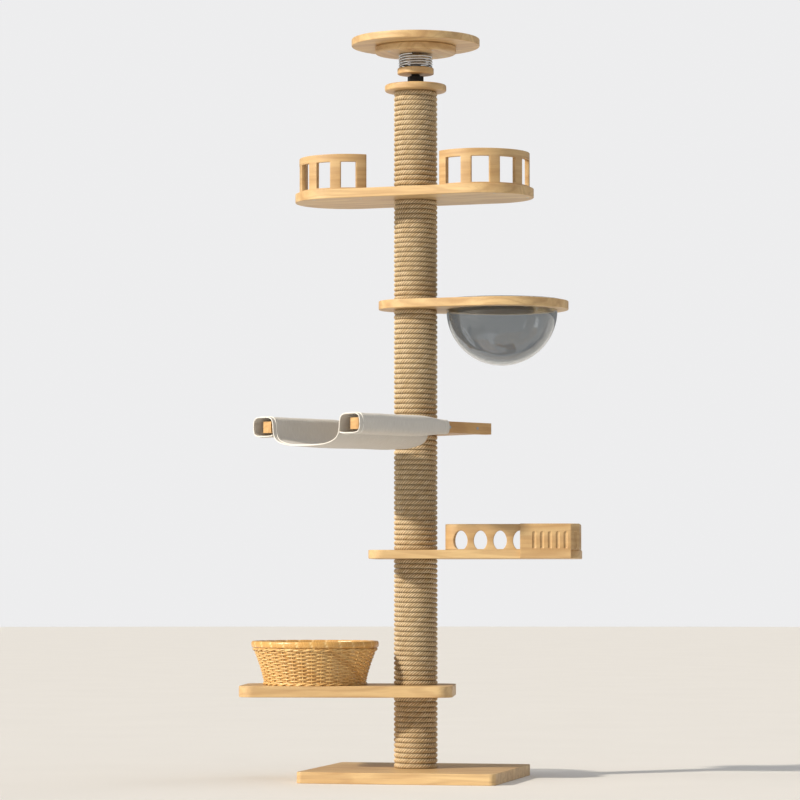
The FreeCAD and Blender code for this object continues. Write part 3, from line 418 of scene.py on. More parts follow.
def laid_strands():
    """Sweeps a section of laid strands, or one plain round, along every path of a piece."""
    tree, given, paths = path_tree("laid strands", [
        ("Strands", "Float"), ("Strand radius", "Float"), ("Strand offset", "Float"),
        ("Twist per metre", "Float"), ("Sides", "Int"), ("Flatten", "Float")])
    length = add(tree, "GeometryNodeSplineParameter").outputs["Length"]
    paths = add(tree, "GeometryNodeStoreNamedAttribute",
                {"Geometry": paths, "Name": "along", "Value": length},
                data_type="FLOAT", domain="POINT").outputs[0]
    paths = add(tree, "GeometryNodeSetCurveNormal", {"Curve": paths}, mode="Z_UP").outputs[0]
    twist = add(tree, "Math", {0: length, 1: given["Twist per metre"]}, operation="MULTIPLY").outputs[0]
    paths = add(tree, "GeometryNodeSetCurveTilt", {"Curve": paths, "Tilt": twist}).outputs[0]
    # one side of the section lies at this share of a strand from that strand's middle
    share = add(tree, "Math", {0: add(tree, "GeometryNodeInputIndex").outputs[0], 1: given["Sides"]},
                operation="DIVIDE").outputs[0]
    share = add(tree, "Math", {0: share, 1: given["Strands"], 2: 0.5}, operation="MULTIPLY_ADD").outputs[0]
    share = add(tree, "Math", {0: share}, operation="FRACT").outputs[0]
    share = add(tree, "Math", {0: share, 1: 0.5}, operation="SUBTRACT").outputs[0]
    angle = add(tree, "Math", {0: share, 1: math.tau}, operation="MULTIPLY").outputs[0]
    angle = add(tree, "Math", {0: angle, 1: given["Strands"]}, operation="DIVIDE").outputs[0]
    across = add(tree, "Math", {0: angle}, operation="SINE").outputs[0]
    across = add(tree, "Math", {0: across, 1: given["Strand offset"]}, operation="MULTIPLY").outputs[0]
    across = add(tree, "Math", {0: across, 1: across}, operation="MULTIPLY").outputs[0]
    square = add(tree, "Math", {0: given["Strand radius"], 1: given["Strand radius"]},
                 operation="MULTIPLY").outputs[0]
    rise = add(tree, "Math", {0: square, 1: across}, operation="SUBTRACT").outputs[0]
    rise = add(tree, "Math", {0: rise, 1: 0.0}, operation="MAXIMUM").outputs[0]
    rise = add(tree, "Math", {0: rise}, operation="SQRT").outputs[0]
    reach = add(tree, "Math", {0: angle}, operation="COSINE").outputs[0]
    reach = add(tree, "Math", {0: reach, 1: given["Strand offset"], 2: rise},
                operation="MULTIPLY_ADD").outputs[0]
    section = add(tree, "GeometryNodeCurvePrimitiveCircle",
                  {"Resolution": given["Sides"], "Radius": 1.0}).outputs[0]
    spot = add(tree, "GeometryNodeInputPosition").outputs[0]
    spot = add(tree, "VectorMath", {0: spot, "Scale": reach}, operation="SCALE").outputs[0]
    flat = add(tree, "CombineXYZ", {0: given["Flatten"], 1: 1.0, 2: 1.0}).outputs[0]
    spot = add(tree, "VectorMath", {0: spot, 1: flat}, operation="MULTIPLY").outputs[0]
    section = add(tree, "GeometryNodeSetPosition", {"Geometry": section, "Position": spot}).outputs[0]
    place = add(tree, "GeometryNodeInputPosition").outputs[0]
    section = add(tree, "GeometryNodeStoreNamedAttribute",
                  {"Geometry": section, "Name": "section", "Value": place},
                  data_type="FLOAT_VECTOR", domain="POINT").outputs[0]
    swept = add(tree, "GeometryNodeCurveToMesh",
                {"Curve": paths, "Profile Curve": section, "Fill Caps": True})
    return hand_over(tree, swept.outputs[0], given["Finish"])


def row_of_stitches():
    """Lays small rounded stitches, end to end with a gap, along every path of a piece."""
    tree, given, paths = path_tree("row of stitches",
                                   [("Pitch", "Float"), ("Length", "Float"), ("Thread", "Float")])
    spots = add(tree, "GeometryNodeCurveToPoints", {"Curve": paths, "Length": given["Pitch"]},
                mode="LENGTH")
    stitch = add(tree, "GeometryNodeMeshIcoSphere", {"Radius": 0.5, "Subdivisions": 1}).outputs[0]
    size = add(tree, "CombineXYZ", {0: given["Thread"], 1: given["Thread"], 2: given["Length"]}).outputs[0]
    laid = add(tree, "GeometryNodeInstanceOnPoints", {
        "Points": spots.outputs["Points"], "Instance": stitch, "Rotation": spots.outputs["Rotation"],
        "Scale": size}).outputs[0]
    return hand_over(tree, laid, given["Finish"])


def grow(name, paths, tree, closed=False, **inputs):
    """Runs a node tree over paths, each a list of points, and keeps the plain mesh it makes."""
    points, edges = [], []
    for path in paths:
        first = len(points)
        points.extend(path)
        edges.extend((at, at + 1) for at in range(first, len(points) - 1))
        if closed:
            edges.append((len(points) - 1, first))
    piece = show(name, bare_mesh(name, points, edges=edges))
    grower = piece.modifiers.new("grow", "NODES")
    grower.node_group = tree
    for item in tree.interface.items_tree:
        value = inputs.get(item.name.replace(" ", "_").lower())
        if item.in_out == "INPUT" and value is not None:
            grower[item.identifier] = value
    ready = piece.evaluated_get(bpy.context.evaluated_depsgraph_get())
    mesh = bpy.data.meshes.new_from_object(ready)
    piece.modifiers.clear()
    piece.data = mesh
    mesh.name = name
    return piece


STRANDS = laid_strands()
STITCHES = row_of_stitches()


def rope(name, paths, radius, strands, lay, sides, finish_of, closed=False):
    """A rope of that many strands, which touch each other inside its radius."""
    pinch = math.sin(math.pi / strands)
    strand = radius * pinch / (1 + pinch)
    return grow(name, paths, STRANDS, closed, strands=float(strands), strand_radius=strand * 1.01,
                strand_offset=radius - strand, twist_per_metre=math.tau / lay, sides=sides, flatten=1.0,
                finish=finish_of)


def rod(name, paths, radius, sides, finish_of, closed=False, flatten=1.0):
    """A plain round cane, wire or cord along each path."""
    return grow(name, paths, STRANDS, closed, strands=1.0, strand_radius=radius, strand_offset=0.0,
                twist_per_metre=0.0, sides=sides, flatten=flatten, finish=finish_of)


# ---------------------------------------------------------------- post

for number, turns in enumerate(WRAP_TURNS, start=1):
    wrap = "rope_wrap_%d" % number
    foot, head = level(wrap), level(wrap, top=True)
    pitch = (head - foot) / turns
    path = []
    for step in range(int((turns - ROPE_JOG) * WRAP_STEPS) + 1):
        turn = step / WRAP_STEPS
        climb = ease((turn % 1 - 1 + ROPE_JOG) / ROPE_JOG)
        angle = math.tau * turn + math.radians(WRAP_FIRST)
        radius = WRAP_RADIUS - pitch / 2
        path.append(round_axis(radius, angle, foot + pitch * (0.5 + int(turn) + climb)))
    settle(rope("sisal_wrap_%d" % number, [path], pitch / 2, 4, -ROPE_LAY, 20, SISAL),
           "column", "sisal_rope", wrap)

# ---------------------------------------------------------------- jack

SPRING_TURNS, WIRE_RADIUS = 4.75, 3.5 * MM
coil_foot, coil_head = level("ceiling_spring") + WIRE_RADIUS, level("ceiling_spring",
                                                                    top=True) - WIRE_RADIUS
coil_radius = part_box("ceiling_spring")[1][0] - WIRE_RADIUS
coil = []
for step in range(int(SPRING_TURNS * 64) + 1):
    share = step / (SPRING_TURNS * 64)
    angle = math.tau * SPRING_TURNS * share
    coil.append(round_axis(coil_radius, angle, coil_foot + (coil_head - coil_foot) * share))
spring = settle(rod("ceiling_coil", [coil], WIRE_RADIUS, 16, SPRING_STEEL), "jack_rod", "chrome_spring",
                "ceiling_spring")
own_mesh(spring)


def threaded_rod():
    """M30 rod: a 3.5 mm pitch thread up to the cup, then a plain spigot through it."""
    foot, shoulder, tip = level("jack_rod"), level("spring_cup"), level("jack_rod", top=True)
    pitch, crest, root, spigot, steps = 3.5 * MM, 15 * MM, 13.1 * MM, 10 * MM, 32
    rows = int((shoulder - foot) / pitch * 8)
    points, faces = [], []
    for row in range(rows + 1):
        height = foot + (shoulder - foot) * row / rows
        fade = min(1.0, (height - foot) / (2 * pitch), (shoulder - height) / pitch)
        for step in range(steps):
            phase = ((height - foot) / pitch - step / steps) % 1
            radius = root + (crest - root) * min(1.0, 2.6 * abs(phase - 0.5) * fade)
            turn = math.tau * step / steps
            points.append(round_axis(radius, turn, height))
    for radius, height in ((spigot, shoulder), (spigot, tip - 1 * MM), (spigot - 1 * MM, tip)):
        for step in range(steps):
            turn = math.tau * step / steps
            points.append(round_axis(radius, turn, height))
    rings = len(points) // steps
    for ring in range(rings - 1):
        for step in range(steps):
            after = (step + 1) % steps
            faces.append((ring * steps + step, ring * steps + after, (ring + 1) * steps + after,
                          (ring + 1) * steps + step))
    faces.append(list(range(steps)))
    faces.append(list(range(len(points) - steps, len(points))))
    return outward(bare_mesh("threaded_rod", points, faces), 40)


settle(show("threaded_rod", threaded_rod(), BLACK_STEEL), "jack_rod", "black_steel", "jack_rod")

# ---------------------------------------------------------------- basket

basket = middle("basket_weave")
basket.z = level("basket_weave")
FOOT_RADIUS, LIP_RADIUS, WEAVE_HEIGHT = 0.165, 0.2015, 0.120
STAKES, ROWS = 36, 21
# the woven wall: its middle line below the outer face, how far the weavers bend round the stakes, and
# how squarely; the canes' radii
WALL_LINE, WEAVER_BEND, WEAVER_SQUARE = 4.6 * MM, 2.9 * MM, 2.2
WEAVER_RADIUS, STAKE_RADIUS, FLOOR_CANE_RADIUS, SPOKE_RADIUS = 2.75 * MM, 2.3 * MM, 2.8 * MM, 2.2 * MM
# the woven floor: its level, rings and how far its canes bend round the spokes
FLOOR_LEVEL, FLOOR_RINGS, FLOOR_FIRST, FLOOR_PITCH, FLOOR_BEND = 4.5 * MM, 13, 16 * MM, 11.5 * MM, 1.6 * MM
FLOOR_POINTS, FLOOR_WAVES = 108, 18
BRAID_RADIUS, BRAID_LAY = 5.0 * MM, 64 * MM


def flare(height):
    """Radius of the basket's outer face."""
    return FOOT_RADIUS + (LIP_RADIUS - FOOT_RADIUS) * max(height / WEAVE_HEIGHT, 0) ** 1.35


def round_basket(height, offset, points, wave=0.0, waves=0):
    """One ring of cane round the basket."""
    ring = []
    for step in range(points):
        turn = math.tau * step / points
        swell = wave * math.tanh(WEAVER_SQUARE * math.cos(waves * turn))
        radius = flare(height) + offset + swell
        ring.append(basket + round_axis(radius, turn, height))
    return ring


weavers = []
for row in range(ROWS):
    height = WEAVE_HEIGHT * (row + 0.5) / ROWS
    weavers.append(round_basket(height, -WALL_LINE, STAKES * 8, WEAVER_BEND * (-1) ** row, STAKES // 2))
weave = rod("basket_weavers", weavers, WEAVER_RADIUS, 8, RATTAN, closed=True, flatten=0.8)
settle(weave, "basket_shelf", "rattan", "basket_weave")
stakes = []
for stake in range(STAKES):
    turn = math.tau * stake / STAKES
    stakes.append([basket + round_axis(flare(height) - WALL_LINE, turn, height)
                   for height in (WEAVE_HEIGHT * step / 12 for step in range(13))])
settle(rod("basket_stakes", stakes, STAKE_RADIUS, 8, RATTAN), "basket_shelf", "rattan")
floor_canes = []
for ring in range(FLOOR_RINGS):
    radius = FLOOR_FIRST + ring * FLOOR_PITCH
    cane = []
    for step in range(FLOOR_POINTS):
        turn = math.tau * step / FLOOR_POINTS
        bend = FLOOR_BEND * (-1) ** ring * math.cos(FLOOR_WAVES * turn)
        cane.append(basket + round_axis(radius, turn, FLOOR_LEVEL + bend))
    floor_canes.append(cane)
settle(rod("basket_floor", floor_canes, FLOOR_CANE_RADIUS, 8, RATTAN, closed=True), "basket_shelf",
       "rattan")
spokes = []
for spoke in range(STAKES // 2):
    turn = math.tau * spoke / STAKES
    arm = Vector((math.cos(turn), math.sin(turn), 0))
    spokes.append([basket + arm * reach + Vector((0, 0, FLOOR_LEVEL))
                   for reach in (-0.158, -0.1, -0.05, 0.05, 0.1, 0.158)])
settle(rod("basket_spokes", spokes, SPOKE_RADIUS, 8, RATTAN), "basket_shelf", "rattan")
braids = [round_basket(WEAVE_HEIGHT - 5 * MM, -2.0 * MM, 300), round_basket(FLOOR_LEVEL, -1.5 * MM, 300)]
settle(rope("basket_braids", braids, BRAID_RADIUS, 2, -BRAID_LAY, 12, RATTAN, closed=True),
       "basket_shelf", "rattan")


def wrapped_rim(laps=27, along=14, around=20):
    """The rim's hoop wound with flat cane, each lap swelling a little and lying over the last."""
    hoop, half_width, half_height = 0.198, 6.4 * MM, 10.0 * MM
    hoop_level = WEAVE_HEIGHT + 11 * MM
    points, places, edges, faces = [], [], [], []
    steps = laps * along
    for step in range(steps):
        turn = math.tau * step / steps
        out = Vector((math.cos(turn), math.sin(turn), 0))
        for side in range(around):
            angle = math.tau * side / around
            slant = 0.09 * math.sin(angle)
            share = (step / along + slant) % 1
            swell = 1.6 * MM * (1 - abs(2 * share - 1) ** 4) + 0.5 * MM * share
            across = math.copysign(abs(math.cos(angle)) ** 0.7, math.cos(angle))
            upward = math.copysign(abs(math.sin(angle)) ** 0.7, math.sin(angle))
            points.append(basket + out * (hoop + (half_width + swell) * across)
                          + Vector((0, 0, hoop_level + (half_height + swell * 0.5) * upward)))
            places.append((share, side / around, 0))
            edges.append(ease((abs(2 * share - 1) - 0.80) / 0.12) * ease((1 - abs(2 * share - 1)) / 0.03))
            other = ((step + 1) % steps) * around
            after = (side + 1) % around
            faces.append((step * around + side, other + side, other + after, step * around + after))
    mesh = bare_mesh("basket_rim_wrap", points, faces)
    note(mesh, "lap", [(place[0] * 0.046, place[1] * 0.06, 0) for place in places])
    note(mesh, "edge", edges, "FLOAT")
    return outward(mesh, 60)


settle(show("basket_rim_wrap", wrapped_rim(), RATTAN_WRAP), "basket_shelf", "rattan", "basket_rim")

# ---------------------------------------------------------------- routed and bent boards


def shifted(loop, distance):
    """The outline moved sideways: into the wood for an outline drawn anticlockwise, or for an
    opening drawn clockwise."""
    moved = []
    for before, point, after in zip(loop[-1:] + loop[:-1], loop, loop[1:] + loop[:1]):
        one, two = (point - before).normalized(), (after - point).normalized()
        left_one, left_two = Vector((-one.y, one.x)), Vector((-two.y, two.x))
        moved.append(point + (left_one + left_two) * distance / max(1 + left_one.dot(left_two), 0.4))
    return moved


def rounded_box(left, low, right, high, radius, steps=4):
    """Anticlockwise rectangle with rounded corners."""
    loop = []
    for corner, (x, y) in enumerate(((right, high), (left, high), (left, low), (right, low))):
        cx = x - radius if x == right else x + radius
        cy = y - radius if y == high else y + radius
        for step in range(steps + 1):
            angle = math.pi / 2 * (corner + step / steps)
            loop.append(Vector((cx + radius * math.cos(angle), cy + radius * math.sin(angle))))
    return loop


def cut_board(outline, openings, thick, edge, bends=(), flutes=(), flute_curve=()):
    """A flat board in its own frame: X along, Y up, Z towards its face. Openings go right through;
    flutes are routed into the face along flute_curve, a list of (inset, depth). bends are the X
    positions where it is divided so that it can be bent."""
    half = thick / 2
    layers = []
    for step in range(4):
        angle = math.pi / 2 * step / 3
        layers.append((edge - edge * math.sin(angle), half - edge * (1 - math.cos(angle))))
    layers += [(inset, -height) for inset, height in reversed(layers)]
    points, faces = [], []

    def stack(loop, levels):
        rings = []
        for inset, height in levels:
            rings.append(list(range(len(points), len(points) + len(loop))))
            points.extend(Vector((spot.x, spot.y, height)) for spot in shifted(loop, inset))
        for upper, lower in zip(rings, rings[1:]):
            for at in range(len(loop)):
                after = (at + 1) % len(loop)
                faces.append((upper[at], upper[after], lower[after], lower[at]))
        return rings[0], rings[-1]

    def cap(rings):
        order = [at for ring in rings for at in ring]
        for triangle in tessellate_polygon([[points[at] for at in ring] for ring in rings]):
            faces.append([order[at] for at in triangle])

    stacks = [stack(loop, layers) for loop in [outline] + list(openings)]
    mouths = []
    for flute in flutes:
        mouth, bed = stack(flute, [(-inset, half - depth) for inset, depth in flute_curve])
        mouths.append(mouth)
        cap([bed])
    cap([top for top, under in stacks] + mouths)
    cap([under for top, under in stacks])
    board = bmesh.new()
    rows = [board.verts.new(point) for point in points]
    for face in faces:
        board.faces.new([rows[at] for at in face])
    for place in bends:
        bmesh.ops.bisect_plane(board, geom=board.verts[:] + board.edges[:] + board.faces[:],
                               plane_co=(place, 0, 0), plane_no=(1, 0, 0), dist=0.001 * MM)
    mesh = bpy.data.meshes.new("board")
    board.to_mesh(mesh)
    board.free()
    return mesh


def placed_board(name, mesh, place):
    """Keeps each point's own place as its grain, then moves it to where place says."""
    note(mesh, "grain", [point.co.copy() for point in mesh.vertices])
    for point in mesh.vertices:
        point.co = place(point.co.copy())
    return show(name, outward(mesh), SHADE_DARKENED_BIRCH)


def steps_between(low, high, pitch):
    count = max(1, round((high - low) / pitch))
    return [low + (high - low) * step / count for step in range(1, count)]


# bent fences round the two ends of the top shelf
FENCE_RADIUS, FENCE_THICK, FENCE_HEIGHT = 0.157, 14 * MM, 115 * MM
FENCE_SILL, FENCE_TOP, FENCE_SLAT, FENCE_GAPS = 6 * MM, 25 * MM, 13.0, 4
WINDOW_ROUND, FENCE_ROUND, FENCE_EDGE, FENCE_STEP = 1.5 * MM, 2.2 * MM, 1.6 * MM, 7 * MM
fence_foot = level("fence_right")
bend_radius = FENCE_RADIUS - FENCE_THICK / 2
for side, name, node, reach_out, pitch, first in (
        (1, "fence_bend_right", "fence_right", 0.225, 34.6, -124.0),
        (-1, "fence_bend_left", "fence_left", 0.238, 31.5, -128.0)):
    span = math.radians(pitch * FENCE_GAPS + FENCE_SLAT) * bend_radius
    slat = math.radians(FENCE_SLAT) * bend_radius
    gap = math.radians(pitch - FENCE_SLAT) * bend_radius
    gaps = []
    for place in range(FENCE_GAPS):
        left = slat + place * (slat + gap)
        gaps.append(rounded_box(left, FENCE_SILL, left + gap, FENCE_HEIGHT - FENCE_TOP, WINDOW_ROUND,
                                2)[::-1])
    strip = cut_board(rounded_box(0, 0, span, FENCE_HEIGHT, FENCE_ROUND, 3), gaps, FENCE_THICK,
                      FENCE_EDGE, steps_between(0, span, FENCE_STEP))

    def round_the_end(spot, side=side, reach_out=reach_out, first=first):
        angle = math.radians(first - FENCE_SLAT / 2) + spot.x / bend_radius
        reach = bend_radius + spot.z
        return swing(side * (reach_out + reach * math.cos(angle)), reach * math.sin(angle),
                     fence_foot + spot.y, FENCE_YAW)

    settle(placed_board(name, strip, round_the_end), "fence_shelf", "birch_ply", node)

# arched rail on the next shelf but two: a short return, a bend and a straight run
RAIL_START, RAIL_LENGTH, RAIL_RETURN, RAIL_THICK, RAIL_HEIGHT, RAIL_BEND = 104, 276, 95, 15, 82, 50
BOARD_FRONT = -175 * MM
ARCHES, ARCH_FIRST, ARCH_PITCH, ARCH_STEPS = 4, 52, 62.5, 28
# an arch's half width and half height, where it is widest, its flat foot, and how much its crown narrows
ARCH_HALF, ARCH_RISE, ARCH_WAIST, ARCH_FOOT, ARCH_TAPER = 21.5 * MM, 31.0 * MM, 30.0 * MM, 1.5 * MM, 0.10
RAIL_ROUND, RAIL_EDGE, RAIL_STEP = 1.0 * MM, 2.2 * MM, 4 * MM
straight_one = (RAIL_RETURN - RAIL_BEND) * MM
middle_bend = (RAIL_BEND - RAIL_THICK / 2) * MM
bend_length = middle_bend * math.pi / 2
straight_two = (RAIL_LENGTH - RAIL_BEND) * MM
rail_run = straight_one + bend_length + straight_two
arches = []
low = math.asin((ARCH_FOOT - ARCH_WAIST) / ARCH_RISE)
for place in range(ARCHES):
    centre = straight_one + bend_length + (ARCH_FIRST - RAIL_BEND + ARCH_PITCH * place) * MM
    arch = []
    for step in range(ARCH_STEPS + 1):
        angle = low + (math.pi - 2 * low) * step / ARCH_STEPS
        across = ARCH_HALF * math.cos(angle) * (1 - ARCH_TAPER * max(0, math.sin(angle)))
        arch.append(Vector((centre + across, ARCH_WAIST + ARCH_RISE * math.sin(angle))))
    arches.append(arch[::-1])
arch_foot = level("arch_rail")
rail = cut_board(rounded_box(0, 0, rail_run, RAIL_HEIGHT * MM, RAIL_ROUND, 2), arches, RAIL_THICK * MM,
                 RAIL_EDGE, steps_between(straight_one, straight_one + bend_length, RAIL_STEP))


def along_the_rail(spot):
    outer = RAIL_START * MM
    if spot.x < straight_one:
        x, y = outer + RAIL_THICK * MM / 2 - spot.z, BOARD_FRONT + RAIL_RETURN * MM - spot.x
    elif spot.x > straight_one + bend_length:
        x = outer + RAIL_BEND * MM + spot.x - straight_one - bend_length
        y = BOARD_FRONT + RAIL_THICK * MM / 2 - spot.z
    else:
        angle = math.pi + (spot.x - straight_one) / middle_bend
        reach = middle_bend + spot.z
        x = outer + RAIL_BEND * MM + reach * math.cos(angle)
        y = BOARD_FRONT + RAIL_BEND * MM + reach * math.sin(angle)
    return swing(x, y, arch_foot + spot.y, ARCH_YAW)


settle(placed_board("arched_rail", rail, along_the_rail), "arch_shelf", "birch_ply", "arch_rail")

# fluted panels round the far corner of the same shelf
PANEL_THICK, PANEL_RISE, PANEL_START = 15 * MM, 83 * MM, 345 * MM
FRONT_LENGTH, FACET_LENGTH, SIDE_LENGTH = 162 * MM, 37 * MM, 250 * MM
FLUTE_HALF, FLUTE_DEPTH, FLUTE_PITCH, FLUTE_BASE, FLUTE_TIP = 7 * MM, 4 * MM, 25 * MM, 2 * MM, 59 * MM
PANEL_ROUND, PANEL_EDGE = 1.2 * MM, 1.6 * MM
nose = (FLUTE_HALF ** 2 + FLUTE_DEPTH ** 2) / (2 * FLUTE_DEPTH)
ROUND_NOSE = [(inset, math.sqrt(nose ** 2 - (FLUTE_HALF - inset) ** 2) - nose + FLUTE_DEPTH)
              for inset in (share * MM for share in (0, 1.0, 2.0, 3.2, 4.6, 6.2))]


def fluted(length, drop, first, count):
    """A panel with upright round-nosed flutes that start just above the shelf board."""
    flutes = []
    for place in range(count):
        x = first + FLUTE_PITCH * place
        flutes.append(rounded_box(x - FLUTE_HALF, drop + FLUTE_BASE, x + FLUTE_HALF, drop + FLUTE_TIP,
                                  FLUTE_HALF * 0.98, 6)[::-1])
    return cut_board(rounded_box(0, 0, length, drop + PANEL_RISE, PANEL_ROUND, 2), [], PANEL_THICK,
                     PANEL_EDGE,
                     flutes=flutes, flute_curve=ROUND_NOSE)


arch_top = level("arch_board", top=True)
arch_under = level("arch_board")
facet_run = FACET_LENGTH * math.cos(math.radians(45))
face_y = BOARD_FRONT - PANEL_THICK


def stand(x, y, z, turn):
    """Places a panel by its lower left outer corner, turned about the upright there."""
    def place(spot):
        flat = swing(spot.x, PANEL_THICK / 2 - spot.z, 0, turn)
        return swing(x + flat.x, y + flat.y, z + spot.y, ARCH_YAW)
    return place


drop = arch_top - arch_under
for name, node, panel, where in (
        ("fluted_front", "front_panel", fluted(FRONT_LENGTH, drop, 45 * MM, 5),
         stand(PANEL_START, face_y, arch_under, 0)),
        ("fluted_corner", "corner_panel", fluted(FACET_LENGTH, 0, FACET_LENGTH / 2, 1),
         stand(PANEL_START + FRONT_LENGTH, face_y, arch_top, 45)),
        ("fluted_side", "side_panel", fluted(SIDE_LENGTH, 0, FLUTE_PITCH, 9),
         stand(PANEL_START + FRONT_LENGTH + facet_run, face_y + facet_run, arch_top, 90))):
    settle(placed_board(name, panel, where), "arch_shelf", "birch_ply", node)

# ---------------------------------------------------------------- clear bowl

bowl = middle("acrylic_bowl")
brim = level("acrylic_bowl", top=True)
rim_low = level("ring_board")
bowl.z = rim_low
BOWL_RADIUS, BOWL_WALL, FLANGE_RADIUS, FLANGE_THICK = 0.180, 4 * MM, 0.195, 4 * MM
neck = brim - rim_low
profile = [(BOWL_RADIUS * math.sin(angle), -BOWL_RADIUS * math.cos(angle))
           for angle in (math.pi / 2 * step / 40 for step in range(41))]
profile += [(BOWL_RADIUS, neck - FLANGE_THICK), (FLANGE_RADIUS - 1.5 * MM, neck - FLANGE_THICK),
            (FLANGE_RADIUS - 0.4 * MM, neck - FLANGE_THICK + 0.6 * MM), (FLANGE_RADIUS,
                                                                         neck - FLANGE_THICK / 2),
            (FLANGE_RADIUS - 0.4 * MM, neck - 0.6 * MM), (FLANGE_RADIUS - 1.5 * MM, neck),
            (BOWL_RADIUS - BOWL_WALL + 3 * MM, neck), (BOWL_RADIUS - BOWL_WALL + 0.8 * MM, neck - 0.8 * MM),
            (BOWL_RADIUS - BOWL_WALL, neck - 3 * MM)]
inner = BOWL_RADIUS - BOWL_WALL
profile += [(inner * math.cos(angle), -inner * math.sin(angle))
            for angle in (math.pi / 2 * step / 40 for step in range(41))]
settle(show("clear_bowl", lathe("clear_bowl", profile, bowl, 128), ACRYLIC), "bowl", "clear_acrylic",
       "acrylic_bowl")

# ---------------------------------------------------------------- hammock

ARM_SPREAD, CLOTH_NEAR, CLOTH_FAR, TROUGH_FAR, CLOTH_THICK = 0.200, -0.488, -0.074, -0.096, 3.6 * MM
TROUGH_HALF_GIRTH = 0.205
# the sleeves draw in towards the post: where that starts and over what length, across and upright
PINCH_START, PINCH_RUN, PINCH_ACROSS, PINCH_UPRIGHT = -0.200, 0.122, 0.42, 0.30
arm_level = middle("hammock_hub").z


def rounded_line(points, rounds):
    """Cuts the corners of an open line again and again, which leaves a smooth curve."""
    for _ in range(rounds):
        cut = [points[0]]
        for one, two in zip(points, points[1:]):
            cut += [one.lerp(two, 0.25), one.lerp(two, 0.75)]
        points = cut + [points[-1]]
    return points


def evenly(points, count):
    """Count points at even spacing along an open line, and its length."""
    lengths = [0.0]
    for one, two in zip(points, points[1:]):
        lengths.append(lengths[-1] + (two - one).length)
    spaced, at = [], 0
    for step in range(count):
        want = lengths[-1] * step / (count - 1)
        while at < len(points) - 2 and lengths[at + 1] < want:
            at += 1
        share = (want - lengths[at]) / max(lengths[at + 1] - lengths[at], 1e-9)
        spaced.append(points[at].lerp(points[at + 1], share))
    return spaced, lengths[-1]


# half the cloth's line across the hammock, from the middle of the trough, up its side, round the
# sleeve and back to the seam: (across, up) in millimetres from the arms' level
HALF_CUT = [(0, -66), (45, -66), (84, -63), (116, -56), (140, -43), (150, -25), (152, -8), (153, 10),
            (159, 25),
            (176, 31), (200, 30.5), (226, 31), (241, 23), (243.5, 0), (241, -23), (226, -30), (195, -30),
            (172, -30), (160, -29), (154, -26)]
half_line = rounded_line([Vector((x, y)) * MM for x, y in HALF_CUT], 3)
full_line = [Vector((-point.x, point.y)) for point in reversed(half_line[1:])] + half_line
ACROSS, LENGTHWISE = 231, 61
cut_line, girth = evenly(full_line, ACROSS)


def far_end(spot, index):
    """Where the cloth stops towards the post: short in the trough, long round the arms."""
    from_middle = abs(index / (ACROSS - 1) - 0.5) * girth
    return TROUGH_FAR + (CLOTH_FAR - TROUGH_FAR) * ease((from_middle - TROUGH_HALF_GIRTH) / 0.02)


def cloth_point(index, share):
    """Point of the cloth: index counts across it, share runs from the near hem to the far one."""
    spot = cut_line[index]
    along = CLOTH_NEAR + (far_end(spot, index) - CLOTH_NEAR) * share
    arm = math.copysign(ARM_SPREAD, spot.x)
    sleeve = ease((abs(spot.x) - 0.150) / 0.006)
    pinch = sleeve * ease((along - PINCH_START) / PINCH_RUN)
    x = arm + (spot.x - arm) * (1 - pinch * PINCH_ACROSS)
    z = spot.y * (1 - pinch * PINCH_UPRIGHT)
    trough = 1 - ease((abs(spot.x) - 0.10) / 0.05)
    belly = math.sin(math.pi * min(max((along - CLOTH_NEAR) / (TROUGH_FAR - CLOTH_NEAR), 0), 1))
    z += trough * (1.6 * MM * noise.noise(Vector((along * 9, spot.x * 16, 1.7))) + 2.0 * MM * (1 - belly))
    fold = noise.noise(Vector((along * 16, spot.x * 55, spot.y * 55)))
    side = math.copysign(1, spot.x)
    x += side * sleeve * 0.9 * MM * fold * (1 - pinch)
    z += sleeve * 0.7 * MM * noise.noise(Vector((along * 22 + 5, spot.x * 40, 3.0))) * (1 - pinch)
    return swing(along, x, arm_level + z, HAMMOCK_YAW)


def hung_cloth():
    points, faces, places = [], [], []
    for index in range(ACROSS):
        for row in range(LENGTHWISE):
            share = row / (LENGTHWISE - 1)
            points.append(cloth_point(index, share))
            places.append((index / (ACROSS - 1) * girth, share * (CLOTH_FAR - CLOTH_NEAR)))
    for index in range(ACROSS - 1):
        for row in range(LENGTHWISE - 1):
            at = index * LENGTHWISE + row
            faces.append((at, at + 1, at + LENGTHWISE + 1, at + LENGTHWISE))
    mesh = bare_mesh("hammock_canvas", points, faces)
    cut = mesh.uv_layers.new(name="cut")
    for loop in mesh.loops:
        cut.data[loop.index].uv = places[loop.vertex_index]
    return mesh


canvas = show("hammock_canvas", hung_cloth(), CANVAS)
thicken = canvas.modifiers.new("hem thickness", "SOLIDIFY")
thicken.thickness = CLOTH_THICK
thicken.offset = 0.0
thicken.use_rim = True
ready = canvas.evaluated_get(bpy.context.evaluated_depsgraph_get())
solid = bpy.data.meshes.new_from_object(ready)
canvas.modifiers.clear()
canvas.data = solid
solid.shade_smooth()
solid.set_sharp_from_angle(angle=math.radians(50))
settle(canvas, "hammock", "grey_canvas", "hammock_cloth")


def hem_path(share, outset):
    """A line across the cloth, lifted outset off its outer face."""
    path = []
    for index in range(ACROSS):
        here = cloth_point(index, share)
        ahead = cloth_point(min(index + 1, ACROSS - 1), share)
        back = cloth_point(max(index - 1, 0), share)
        forward = cloth_point(index, min(share + 0.02, 1)) - here
        lift = (ahead - back).cross(forward).normalized()
        path.append(here + lift * outset)
    return path


